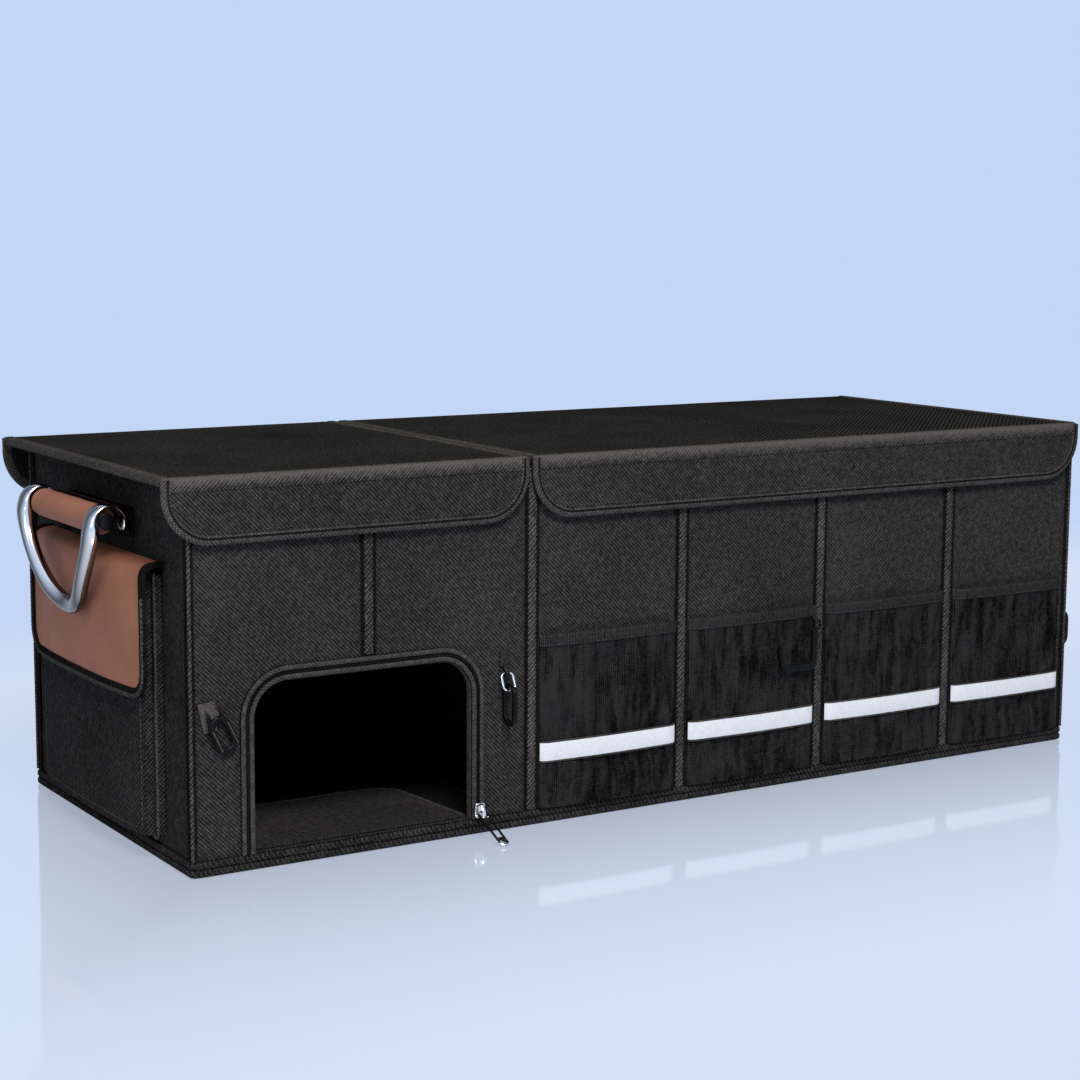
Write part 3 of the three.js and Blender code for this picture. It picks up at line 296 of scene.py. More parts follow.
def twisted(pitch, depth, sides):
    """Scale of a rope's profile: two ridges that run round it."""
    return lambda s, k: 1 + depth * np.sin(2 * pi * (s / pitch + 2 * k / sides))


def ribbed(pitch, depth):
    return lambda s, k: 1 + depth * np.sin(2 * pi * s / pitch)


def stitches(points, ups, pitch=4.6, length=3.3, width=0.75, mat=0, closed=False):
    """A row of thread stitches on a surface."""
    p, t, u, w = (v[:, None] for v in frames(resample(points, pitch, closed), ups, closed))
    j = np.arange(5)
    angle, k = j[:, None] / 5 * 2 * pi, (j + 1) % 5
    rings = [p + t * along * length + u * (0.1 + 0.2 * (size - 0.35))
             + size * width / 2 * (w * np.cos(angle) + u * np.sin(angle))
             for along, size in ((-0.5, 0.35), (-0.28, 0.9), (0.28, 0.9), (0.5, 0.35))]
    v = np.stack(rings, 1).reshape(-1, 3)
    base = np.concatenate([pile(r + j, r + k, r + 5 + k, r + 5 + j) for r in (0, 5, 10)])
    ends = np.array([[0, 2, 1], [0, 3, 2], [0, 4, 3], [15, 16, 17], [15, 17, 18], [15, 18, 19]])
    first = 20 * np.arange(len(p))[:, None, None]
    faces = [(base + first).reshape(-1, 4), (ends + first).reshape(-1, 3)]
    return part(v, [(f, v[f][:, :, :2]) for f in faces], mat)


def slab(outer, inner, uv, keep=None, mats=(0, 0)):
    """A closed sheet between two matching grids of points; keep says which cells there are."""
    a, b = outer.shape[:2]
    index = np.arange(a * b).reshape(a, b)
    keep = np.ones((a - 1, b - 1), bool) if keep is None else keep
    i, j = np.nonzero(keep)
    front = pile(index[i, j], index[i + 1, j], index[i + 1, j + 1], index[i, j + 1])
    padded = np.pad(keep, 1)
    rims = []
    for di, dj, c0, c1 in ((-1, 0, (0, 0), (0, 1)), (1, 0, (1, 1), (1, 0)),
                           (0, -1, (1, 0), (0, 0)), (0, 1, (0, 1), (1, 1))):
        edge = ~padded[i + 1 + di, j + 1 + dj]
        p, q = (index[i[edge] + c[0], j[edge] + c[1]] for c in (c0, c1))
        rims.append(pile(p, q, q + a * b, p + a * b))
    quads = np.concatenate([front, front[:, ::-1] + a * b, *rims])
    quad_uv = np.concatenate([uv, uv]).reshape(-1, 2)[quads]
    quad_uv[len(front) * 2:, 2:] += 4
    mat = np.full(len(quads), mats[0])
    mat[len(front):len(front) * 2] = mats[1]
    return part(np.concatenate([outer, inner]), [(quads, quad_uv)], mat)


# Materials. A wire is an output of a node tree, and it can be used in sums.
class Wire:
    def __init__(self, tree, socket):
        self.tree, self.socket = tree, socket

    def __add__(self, other):
        return math_node("ADD", self, other)

    def __sub__(self, other):
        return math_node("SUBTRACT", self, other)

    def __rsub__(self, other):
        return math_node("SUBTRACT", other, self)

    def __mul__(self, other):
        return math_node("MULTIPLY", self, other)

    def clamped(self):
        self.socket.node.use_clamp = True
        return self


def connect(tree, value, socket):
    """Feeds a socket from a wire, or sets it to a number or a colour."""
    if isinstance(value, Wire):
        tree.links.new(value.socket, socket)
    else:
        socket.default_value = value


def math_node(operation, *values):
    tree = next(value.tree for value in values if isinstance(value, Wire))
    node = tree.nodes.new("ShaderNodeMath")
    node.operation = operation
    for socket, value in zip(node.inputs, values):
        connect(tree, value, socket)
    return Wire(tree, node.outputs[0])


def add_node(tree, kind, output=0, **inputs):
    """A node with its inputs fed by name, as a wire from one of its outputs."""
    node = tree.nodes.new("ShaderNode" + kind)
    for name, value in inputs.items():
        connect(tree, value, node.inputs[name])
    return Wire(tree, node.outputs[output]) if node.outputs else None


def noise(vector, scale, detail=3.0, roughness=0.5):
    return add_node(vector.tree, "TexNoise", "Fac", Vector=vector, Scale=scale, Detail=detail,
                    Roughness=roughness)


def ramp(factor, *stops):
    wire = add_node(factor.tree, "ValToRGB", "Color", Fac=factor)
    elements = wire.socket.node.color_ramp.elements
    while len(elements) < len(stops):
        elements.new(0.5)
    for element, (place, color) in zip(elements, stops):
        element.position = place
        element.color = (*color, 1)
    return wire


def surface(name, finish):
    """A material whose finish(place, flow) gives the shader's inputs, and a height and depth for its bump."""
    material = bpy.data.materials.new(name)
    material.use_nodes = True
    tree = material.node_tree
    shader = tree.nodes["Principled BSDF"]
    flow = tree.nodes.new("ShaderNodeUVMap")
    flow.uv_map = "flow"
    split = tree.nodes.new("ShaderNodeSeparateXYZ")
    tree.links.new(flow.outputs["UV"], split.inputs[0])
    place = add_node(tree, "TexCoord", "Object")
    inputs, height, depth = finish(place, [Wire(tree, split.outputs[axis]) for axis in "XY"])
    inputs["Normal"] = add_node(tree, "Bump", "Normal", Height=height, Distance=depth, Strength=1.0)
    for socket, value in inputs.items():
        connect(tree, value, shader.inputs[socket])
    return material


def srgb(*values):
    return tuple(((v / 255 + 0.055) / 1.055) ** 2.4 if v > 10 else v / 255 / 12.92 for v in values)


def shade(color, share, more=0.0):
    return tuple(c * share + more for c in color)


def woven(name, dark, light, pitch, style="twill", depth=0.0004, roughness=0.9, wear_and_fold_light=0.25, bright=None,
          painted_fold_streaks=0.0):
    """Cloth of crossing threads: twill, plain, rib or net, with uneven colour. bright is the place
    and half width of a lighter line across the flow, a painted highlight; streaks the share of long light
    and dark bands, painted light and shade of folds. Where wear is large, its blotches are painted fold light
    too."""
    dark, light = srgb(*dark), srgb(*light)

    def finish(place, flow):
        along, row = flow
        u, v = flow
        fine = noise(place, 420, 2)
        if style == "twill":
            u, v = u + v, u - v
        first, second = (math_node("SINE", way * (2 * pi / size) + fine * 0.9)
                         for way, size in zip((u, v), pitch))
        if style == "net":
            height = math_node("MAXIMUM", first, second)
        else:
            share = 0.8 if style == "rib" else 0.5
            height = first * share + second * (1 - share)
        height = height * 0.5 + 0.5
        streak = noise(place, 260, 3, 0.7)
        # Large blotches at scale 9, set by wear; where wear is large, as on the net, they are painted light
        # and shade of folds.
        tone = height * 0.55 + (streak - 0.2) * 0.8 + (noise(place, 9, 4, 0.6) - 0.5) * wear_and_fold_light
        # A lighter band across the flow: a painted highlight, as on the rounded fold between lid and flap.
        if bright:
            near = 1 - math_node("ABSOLUTE", row - bright[0]) * (1 / bright[1])
            tone = tone + near.clamped() * 0.4
        # Long light and dark bands along the flow: painted light and shade of folds.
        if painted_fold_streaks:
            stretched = add_node(place.tree, "CombineXYZ", X=along, Y=row * 0.18)
            tone = tone + (noise(stretched, 120, 4, 0.6) - 0.5) * painted_fold_streaks
        middle = tuple((a * 3 + b) / 4 for a, b in zip(dark, light))
        looks = {"Base Color": ramp(tone, (0.15, dark), (0.5, middle), (0.85, light)),
                 "Roughness": streak * 0.15 + (roughness - 0.1), "Specular IOR Level": 0.0}
        return looks, height + fine * 0.5, depth

    return surface(name, finish)


def leather(name, dark, light):
    def finish(place, _):
        cells = add_node(place.tree, "TexVoronoi", "Distance", Vector=place, Scale=780)
        cells.socket.node.feature = "DISTANCE_TO_EDGE"
        grain = math_node("MINIMUM", cells * 5, 1)
        folds, patches = noise(place, 60, 5, 0.6), noise(place, 14, 4, 0.55)
        color = ramp(patches * 0.75 + grain * 0.2, (0.25, srgb(*dark)), (0.75, srgb(*light)))
        looks = {"Base Color": color, "Roughness": folds * 0.25 + 0.5, "Specular IOR Level": 0.2}
        return looks, grain + folds * 2.0, 0.00025

    return surface(name, finish)


def metal(name, color, roughness):
    def finish(place, _):
        smear = noise(place, 45, 4, 0.6)
        # The colour darkens as the surface turns away from the view, down to 8 % at the rims: painted shade
        # and dark reflections on the metal.
        facing = add_node(place.tree, "LayerWeight", "Facing", Blend=0.5) + smear * 0.08
        tone = ramp(facing, (0.14, color), (0.34, shade(color, 0.6)), (0.6, shade(color, 0.08)))
        looks = {"Base Color": tone, "Roughness": smear * 0.14 + (roughness - 0.07), "Metallic": 1}
        return looks, noise(place, 900, 2), 0.00002

    return surface(name, finish)


def plastic(name, color, roughness):
    def finish(place, _):
        smear = noise(place, 80, 4, 0.6)
        looks = {"Base Color": ramp(smear, (0.3, color), (0.8, shade(color, 1.5, 0.004))),
                 "Roughness": smear * 0.2 + (roughness - 0.1), "Specular IOR Level": 0.12}
        return looks, noise(place, 700, 3), 0.00004

    return surface(name, finish)


BODY_TWILL, ROPE_TWILL = (0.0038, 0.0028), (0.0046, 0.0032)
CLOTH = woven("charcoal_cloth", (17, 17, 17), (80, 78, 77), BODY_TWILL, depth=0.0005)
# Lighter copy of the cloth, with a lighter band across the fold: painted highlight on the rounded fold.
FOLD_PAINTED_HIGHLIGHT = woven("fold_cloth_painted_highlight", (17, 17, 17), (88, 84, 82), BODY_TWILL, depth=0.0005, bright=(0.01, 0.009))
# Darker copy of the charcoal cloth for the lid tops: painted shade.
LID_CLOTH_PAINTED_SHADE = woven("lid_cloth", (5, 5, 5), (64, 63, 62), (0.0078, 0.0056), wear_and_fold_light=0.3)
SIDE_CLOTH = woven("end_cloth", (9, 9, 9), (72, 70, 69), (0.0042, 0.0032), depth=0.0005)
TAPE = woven("edge_tape", (34, 33, 32), (98, 94, 91), (0.0034, 0.0026))
DARK_TAPE = woven("dark_tape", (9, 9, 9), (40, 39, 38), (0.0018, 0.0018), "rib")
ROPE = woven("seam_cord", (16, 16, 16), (100, 97, 95), ROPE_TWILL, depth=0.0005, wear_and_fold_light=0.4)
ROLL = woven("bottom_roll", (10, 10, 10), (72, 70, 69), (0.0046, 0.0034), depth=0.0005, wear_and_fold_light=0.4)
LINING = woven("lining", (12, 12, 12), (46, 45, 45), (0.0016, 0.0016), "plain", 0.0002)
# The net's large blotches and long bands are painted light and shade of its folds.
NET = woven("net", (1, 1, 1), (48, 47, 47), (0.0021, 0.0021), "net", 0.0004, 0.85, 0.9, painted_fold_streaks=1.6)
BAND = woven("elastic_band", (22, 22, 22), (66, 64, 64), (0.0016, 0.0016), "rib", 0.0003)
THREAD = woven("thread", (40, 38, 37), (108, 103, 100), (0.0006, 0.0006), "rib", 0.0001)
WEBBING = woven("webbing", (48, 46, 44), (112, 106, 102), (0.0017, 0.0017), "rib")
SILVER_TAPE = woven("reflective_tape", (210, 212, 216), (236, 237, 241), (0.0009, 0.0009), "plain", 0.00006,
                    0.5, 0.05)
LEATHER = leather("brown_leather", (138, 86, 65), (170, 113, 88))
LEATHER_EDGE = leather("leather_edge", (64, 38, 28), (104, 68, 52))
CHROME = metal("polished_aluminium", (1.0, 0.97, 0.92), 0.13)
DARK_STEEL = metal("dark_rod", srgb(46, 45, 46), 0.35)
BLACK = plastic("black_plastic", srgb(4, 4, 4), 0.42)
ZIP_BLACK = plastic("zip_coil", srgb(12, 12, 13), 0.4)


# Walls: sewn panels that swell a little between their seams
def door_outline(grow=0.0, low=DOOR_LOW, count=14):
    return arch(DOOR_L - grow, DOOR_R + grow, low, DOOR_HIGH + grow, DOOR_RADIUS + grow, count)


def in_door(x, z):
    cx = clamp(x, DOOR_L + DOOR_RADIUS, DOOR_R - DOOR_RADIUS)
    cz = np.minimum(z, DOOR_HIGH - DOOR_RADIUS)
    return (np.hypot(x - cx, z - cz) < DOOR_RADIUS) & (z > DOOR_LOW) & (x > DOOR_L) & (x < DOOR_R)


def swelling(along, count, span):
    t = np.mod((along + span / 2) / (span / count), 1.0)
    return np.sqrt(clamp(np.sin(pi * t)))


def front_and_rear():
    for sign, name, columns, rows in ((-1, "front_wall", 205, 70), (1, "rear_wall", 121, 41)):
        x, z = grid(np.linspace(-HALF_L, HALF_L, columns), np.linspace(FLOOR, TOP - 0.4, rows))
        gx, gz, keep = x.copy(), z.copy(), None
        if sign < 0:
            keep = ~in_door((x[:-1, :-1] + x[1:, 1:]) / 2, (z[:-1, :-1] + z[1:, 1:]) / 2)
            touch = np.zeros(x.shape, int)
            for di, dj in ((0, 0), (1, 0), (0, 1), (1, 1)):
                touch[di:di + keep.shape[0], dj:dj + keep.shape[1]] |= np.where(keep, 1, 2)
            rim = resample(door_outline(), 0.4, True)
            for i, j in np.argwhere(touch == 3):
                gx[i, j], gz[i, j] = rim[np.argmin(((rim - (x[i, j], z[i, j])) ** 2).sum(1))]
        swell = swelling(gx, 6, 2 * HALF_L) * (1 - (gz / TOP * 2 - 1) ** 6)
        face = 179.0 + 0.9 * swell + 0.28 * ripple(gx, gz, 3 + sign, 70)
        back = HALF_D - WALL + 0.1 * ripple(gx, gz, 9, 60) + 0.15
        wall = slab(pile(gx, sign * face, gz), pile(gx, sign * back, gz), pile(gx, gz), keep, (0, 1))
        make(name + "_cloth", [wall], [CLOTH, LINING], "box", name)


def ends():
    y, z = grid(np.linspace(-174.6, 174.6, 58), np.linspace(FLOOR, TOP - 0.4, 52))
    for sign, name in ((-1, "left_end_wall"), (1, "right_end_wall")):
        face = 179.0 + 300 + 0.85 * swelling(y, 1, 350) + 0.28 * ripple(y, z, 12 + sign, 80)
        back = HALF_L - WALL + 0.1
        wall = slab(pile(sign * face, y, z), pile(sign * back, y, z), pile(y, z), None, (0, 1))
        make(name + "_cloth", [wall], [SIDE_CLOTH, LINING], "box", name)


def dividers():
    y, z = grid(np.linspace(-174.6, 174.6, 36), np.linspace(FLOOR, 303.5, 30))
    for sign, name in ((-1, "left_divider"), (1, "right_divider")):
        middle = sign * PITCH
        wave, thick = 0.3 * ripple(y, z, 21 + sign, 90), 1.45 + 0.4 * swelling(y, 1, 350)
        sheet = slab(pile(middle - thick + wave, y, z), pile(middle + thick + wave, y, z), pile(y, z))
        hem = sweep(resample(pile(middle, y[:, 0], 302.5), 1.5), UP,
                    both_sides((-2, -7), (-2, 2.6), (-1, 3.5)), mat=1, grow=ribbed(3, 0.012))
        rows = [stitches([[middle + side * 2.05, y_end, 297.5] for y_end in (-172, 172)], (side, 0, 0), mat=2)
                for side in (-1, 1)]
        make(name + "_cloth", [sheet, hem, *rows], [LINING, TAPE, THREAD], "box", name)


def plate(x0, x1, y0, y1, low, high, seed, crown=0.3, step=6.0, edge=1.2):
    """A thin cloth-wrapped board with soft edges, between two heights."""
    x, y = grid(*(np.linspace(a, b, max(8, int((b - a) / step))) for a, b in ((x0, x1), (y0, y1))))
    soft = edge * (1 - clamp(least(x - x0, x1 - x, y - y0, y1 - y) / 6)) ** 2
    top = high - soft - 0.12 - crown * 0.4 + crown * 0.4 * ripple(x, y, seed, 110)
    return slab(pile(x, y, top), pile(x, y, low + soft * 0.4), pile(x, y))


def floors():
    base = plate(-HALF_L, HALF_L, -HALF_D, HALF_D, 0, 5.0, 31, 0.2, 14)
    make("base_panel_cloth", [base], [CLOTH], "box", "base_panel")
    for side, x0, x1 in (("left", -475, -162), ("middle", -158, 158), ("right", 162, 475)):
        board = plate(x0 + 1.5, x1 - 1.5, -173.5, 173.5, FLOOR, BOARD_TOP, 40 + int(x1) % 7, 0.25, 9)
        a, b = x0 + 7, x1 - 7
        border = [[x, y, BOARD_TOP - 0.25] for x, y in ((a, -168), (b, -168), (b, 168), (a, 168))]
        make(side + "_base_board_cloth", [board, stitches(border, UP, mat=1, closed=True)], [LINING, THREAD],
             "box", side + "_base_board")


# Seams, bindings and piping
def seam_parts(x, z0, sign, proud):
    """A knotted cord between two low folds of tape."""
    k, up = proud / 2.0, (0, sign, 0)
    back = HALF_D + 0.3 if sign < 0 else HALF_D - 0.6
    path = np.array([[x, sign * back, z0], [x, sign * back, TOP - 1]])
    tape = both_sides((-7, 0), (-7, 0.9 * k), (-6.6, 1.2 * k), (-5.8, 0.9 * k), (-5.2, 0.3 * k))
    cord = sweep(resample(path + np.array([0, sign * 0.35 * k, 0]), 0.6 if sign < 0 else 0.9), up,
                 oval(4.0, 1.6 * k, 10, 0.75), mat=1,
                 grow=lambda s, j: 1 + 0.1 * np.cos(2 * pi * (s / 3.7 + j / 10))
                 + 0.07 * np.sin(2 * pi * (s / 5.3 - j / 5)))
    return [sweep(resample(path, 2.5), up, tape, grow=ribbed(5, 0.01)), cord]


def seams():
    for i, x in enumerate(SEAMS):
        low, looks = BINDING + 0.3, [DARK_TAPE, ROPE]
        front = seam_parts(x, DOOR_HIGH + 13.5 if DOOR_L < x < DOOR_R else low, -1, 2.0)
        make(f"seam_{i + 1}", front, looks, "box", f"front_seam_{i + 1}")
        make(f"rear_seam_{i + 1}", seam_parts(x, low, 1, 1.7), looks, "box")


def corner_bindings():
    leg, short = 9, 3.2
    ring = np.array([(0.3, -leg), (1.1, -leg), (1.45, -leg + 0.8), (1.2, -2.0), (1.3, 0.6), (0.6, 1.3),
                     (-2.0, 1.2), (-short + 0.4, 1.2), (-short, 0.9), (-short, 0.3), (0.3, 0.3)])
    z = np.arange(BINDING + 0.3, TOP - 1, 2.0)
    for end, sy in (("front", -1), ("rear", 1)):
        for side, sx in (("left", -1), ("right", 1)):
            rings = pile(sx * (HALF_L + ring[:, 0]), sy * (HALF_D + ring[:, 1]), z[:, None])
            path = [[sx * (HALF_L + 0.9), sy * (HALF_D + 0.9), height] for height in z[[0, -1]]]
            cord = sweep(resample(path, 0.85), (sx, sy, 0), oval(1.5, 1.5, 8), mat=1,
                         grow=twisted(3.4, 0.12, 8))
            make(f"{end}_{side}_corner_tape", [loft(rings, s=z), cord], [DARK_TAPE, ROPE], "box",
                 f"{end}_{side}_corner_binding")


def box_path(out, z, step):
    return pile(*resample(rounded_box(HALF_L + out, HALF_D + out, out + 3.2), step, True).T, z)


def bottom_binding():
    profile = [(-0.5, -6.7), (0.6, -6.7), (0.7, 0), (0.6, 6.7), (-0.5, 6.7)]
    tape = sweep(box_path(0.8, 6.8, 4), UP, profile, True)
    rolls = [sweep(box_path(1.3, z, 1.0), UP, oval(1.85, 3.0, 8, 0.9), True, 1,
                   lambda s, k: 1 + 0.1 * np.sin(2 * pi * (s / 3.9 + k / 8)) * (k < 5)) for z in (3.3, 10.2)]
    make("bottom_tape", [tape, *rolls], [DARK_TAPE, ROLL], "box", "bottom_binding")


# Mesh pockets: net cloth pulled between the seams, with an elastic hem and a bright strip
NET_LOW, NET_HIGH, NET_COUNT, STRIP_Z = 14, 160, 64, 65.0


def pocket_face(x, x0, x1):
    """Front of a pocket: a slight belly whose sides round in to the seams."""
    side = clamp(np.minimum(x - x0, x1 - x) / 9)
    return -HALF_D - 0.6 - (5.0 + 2.5 * np.sin(pi * (x - x0) / (x1 - x0))) * np.sqrt(1 - (1 - side) ** 2)


def pocket_ripples(count, seed):
    """Wrinkles of the net: a pinned cloth with a little too much length, settled by simulation."""
    size = np.linspace(0, 0.145, count)
    gx, gz = grid(size, size)
    rough = np.random.default_rng(abs(seed)).standard_normal(gx.shape)
    start = 0.0012 * ripple(gx * 1000, gz * 1000, seed, 45) + 0.0001 * rough
    index = np.arange(count * count).reshape(count, count)
    faces = pile(index[:-1, :-1], index[1:, :-1], index[1:, 1:], index[:-1, 1:]).reshape(-1, 4)
    mesh = bpy.data.meshes.new("net_trial")
    mesh.from_pydata(pile(gx, start, gz).reshape(-1, 3).tolist(), [], faces.tolist())
    trial = add_object("net_trial", mesh)
    pins = trial.vertex_groups.new(name="pins")
    edge = np.concatenate([index[0], index[-1], index[:, 0], index[:, -1]])
    pins.add(np.unique(edge).tolist(), 1.0, "REPLACE")
    cloth = trial.modifiers.new("cloth", "CLOTH")
    cloth.settings.vertex_group_mass = "pins"
    cloth.settings.quality = 6
    cloth.settings.mass = 0.15
    cloth.settings.shrink_min = -0.035
    cloth.settings.bending_stiffness = 0.08
    cloth.settings.effector_weights.gravity = 0.15
    cloth.collision_settings.use_collision = False
    scene = bpy.context.scene
    for step in range(1, 19):
        scene.frame_set(step)
    settled = trial.evaluated_get(bpy.context.evaluated_depsgraph_get())
    out = np.array([v.co.y for v in settled.data.vertices]).reshape(count, count) * 1000
    scene.frame_set(1)
    bpy.data.objects.remove(trial)
    return out


def creases(x, z, width, n):
    """Pulled folds that run from a pocket's corners into its middle."""
    rng = np.random.default_rng(300 + n)
    total = 0 * x
    for i in range(7):
        cx, cz = (0, width)[i % 2], (146, 146, 0, 60)[i % 4]
        angle = math.atan2(73 - cz + rng.uniform(-50, 50), width / 2 - cx + rng.uniform(-20, 20))
        along = (x - cx) * math.cos(angle) + (z - cz) * math.sin(angle)
        off = (z - cz) * math.cos(angle) - (x - cx) * math.sin(angle)
        size = rng.uniform(2.2, 4.2) + along * 0.03
        total += rng.uniform(1.0, 2.0) * bell(off / size) * bell((along - 38) / 36)
    return total


def net_relief(x, z, x0, x1, n):
    """Wrinkles, gathers and creases, held flat at the edges and behind the strip, and that hold."""
    fold = pocket_ripples(NET_COUNT, 60 + n)
    a, b = (x - x0) / (x1 - x0), (z - NET_LOW) / (NET_HIGH - NET_LOW)
    hold = clamp(np.sin(pi * a) * 5) * clamp(b * 9) * clamp((1 - b) * 9)
    strip = np.exp(-((z - STRIP_Z) / 11.0) ** 4)
    gather = 0.75 * np.sin(2 * pi * (x / 8.3 + 0.35 * ripple(x, z, 77 + n, 90, 4))) * np.exp(-(1 - b) * 5)
    loose = 0.7 * ripple(x + z, z - x, 80 + n, 60, 4) + gather + creases(x - x0, z - NET_LOW, x1 - x0, n)
    return clamp(fold, -2.2, 1.6) * hold * (1 - 0.85 * strip) + loose * hold * (1 - strip), hold


def mesh_pockets():
    for n, (x0, x1) in enumerate(POCKETS):
        x, z = grid(waist(x0 + 0.2, x1 - 0.2, 1.35, NET_COUNT),
                    np.linspace(NET_LOW + 0.2, NET_HIGH, NET_COUNT))
        relief, hold = net_relief(x, z, x0, x1, n)
        outer = pile(x, pocket_face(x, x0, x1) + 0.3 - clamp(relief, -3.2, 2.2) + 1.3 * hold, z)
        sheet = slab(outer, outer + np.array([0, 0.5, 0]), pile(x, z))
        floor = plate(x0 + 0.3, x1 - 0.3, -HALF_D - 5.5, -HALF_D - 0.4, 14.0, 15.3, 90 + n, 0.1, 4, 0.2)
        xb = waist(x0, x1, 1.5, 110)
        face = pocket_face(xb, x0, x1)
        gather = 0.18 * np.sin(2 * pi * (xb - x0) / 3.1)
        profile = [(-5.5, -1.0), (-5.5, 0.2), (-5, 0.5), (0, 0.62), (5, 0.5), (5.5, 0.2), (5.5, -1.0)]
        band = sweep(pile(xb, face - 0.35 + gather, 164.5), FRONT, profile, mat=1)
        rows = [stitches(pile(xb, face - 0.9, z_row)[2:-2], FRONT, 4.4, 3.0, 0.55, 2)
                for z_row in (160.6, 168.2)]
        make(f"net_pocket_{n + 1}", [sheet, floor, band, *rows], [NET, BAND, THREAD], "box",
             f"mesh_pocket_{n + 1}")
        xs = waist(x0 + 0.6, x1 - 0.6, 1.5, 70)
        line = pile(xs, pocket_face(xs, x0, x1) - 0.35, STRIP_Z)
        tape = sweep(line, FRONT, both_sides((-8, 0), (-8, 0.35), (-7.6, 0.5)))
        pipes = [sweep(line + np.array([0, -0.25, dz]), FRONT, oval(0.9, 0.55, 8), mat=1)
                 for dz in (-8.9, 8.9)]
        make(f"bright_strip_{n + 1}", [tape, *pipes], [SILVER_TAPE, TAPE], "box",
             f"reflective_strip_{n + 1}")


# Doorway: welted band with the zip's coil, a lined jamb, and the tucked panel
def helix(points, ups, radius, pitch, turn_points=8):
    p, _, u, w = frames(resample(points, pitch / turn_points), ups)
    angle = np.arange(len(p))[:, None] / turn_points * 2 * pi
    return p + radius * (w * np.cos(angle) + u * np.sin(angle))


def band_path(offset, out, step=2.0):
    flat = resample(door_outline(6 + offset, BINDING + 0.3, 24), step)
    return standing(flat, -HALF_D - 0.3 - out)


def zip_band():
    tape = sweep(band_path(0, 0), FRONT, both_sides((-6, 0), (-6, 1.0), (-5.2, 1.25)))
    welts = [sweep(band_path(side * 3.75, 1.9, 1.0), FRONT, oval(2.05, 1.55, 10, 0.85), mat=1,
                   grow=ribbed(2.3, 0.03)) for side in (-1, 1)]
    coil = sweep(helix(band_path(0, 1.9), FRONT, 0.95, 1.7), FRONT, oval(0.34, 0.34, 5), mat=2)
    rows = [stitches(band_path(side * 5.5, 1.3), FRONT, 4.2, 2.9, 0.5, 3) for side in (-1, 1)]
    make("zip_band_cloth", [tape, *welts, coil, *rows], [DARK_TAPE, TAPE, ZIP_BLACK, THREAD], "box",
         "zip_band")
    flat = resample(door_outline(-0.45, DOOR_LOW + 0.3, 24), 2)
    profile = [(-0.35, -2.9), (0.35, -2.9), (0.42, 2.9), (-0.35, 2.9)]
    jamb = sweep(standing(flat, -177.4), FRONT, profile)
    make("door_jamb", [jamb], [TAPE], "box")


def door_panel():
    """Unzipped, and tucked inwards on the base board. Built upright, then turned about its foot."""
    foot, height = 13.7, 140.8
    tilt = math.asin((foot - BOARD_TOP - 0.3) / (DOOR_HIGH - 1.5 - foot))
    turn = Matrix.Rotation(-(pi / 2 + tilt), 3, "X")
    half, radius = (DOOR_R - DOOR_L) / 2 - 2, DOOR_RADIUS - 2
    mid = (DOOR_L + DOOR_R) / 2
    a = waist(-half, half, pi / 2, 70)
    into = clamp(radius - (half - np.abs(a)), 0, radius)
    top = height - radius + np.sqrt(clamp(radius ** 2 - into ** 2, 0, None))[:, None]
    x, t = grid(a, np.linspace(0, 1, 46))
    z = 1.3 + t * (top - 1.9)
    inside = clamp(least(half - np.abs(x), top - z, z) / 9)
    wave = 0.35 * ripple(x, z, 71, 60) * inside
    sheet = slab(pile(x + mid, -3.0 + 0.7 * inside + wave, z), pile(x + mid, -0.5 + wave, z), pile(x, z))
    edge = arch(-half, half, 1.8, height, radius, 14) * 0.985
    path = standing(edge + (mid, 0), -1.8)
    hem = sweep(resample(path, 2), FRONT, oval(2.2, 1.5, 10), mat=1, grow=ribbed(2.4, 0.03))
    coil = sweep(helix(path, FRONT, 0.6, 1.8, 5), FRONT, oval(0.3, 0.3, 5), mat=2)
    parts = [moved(p, turn, (0, -175, foot)) for p in (sheet, hem, coil)]
    panel = make("door_panel_cloth", parts, [CLOTH, TAPE, ZIP_BLACK], "door", "door_panel")


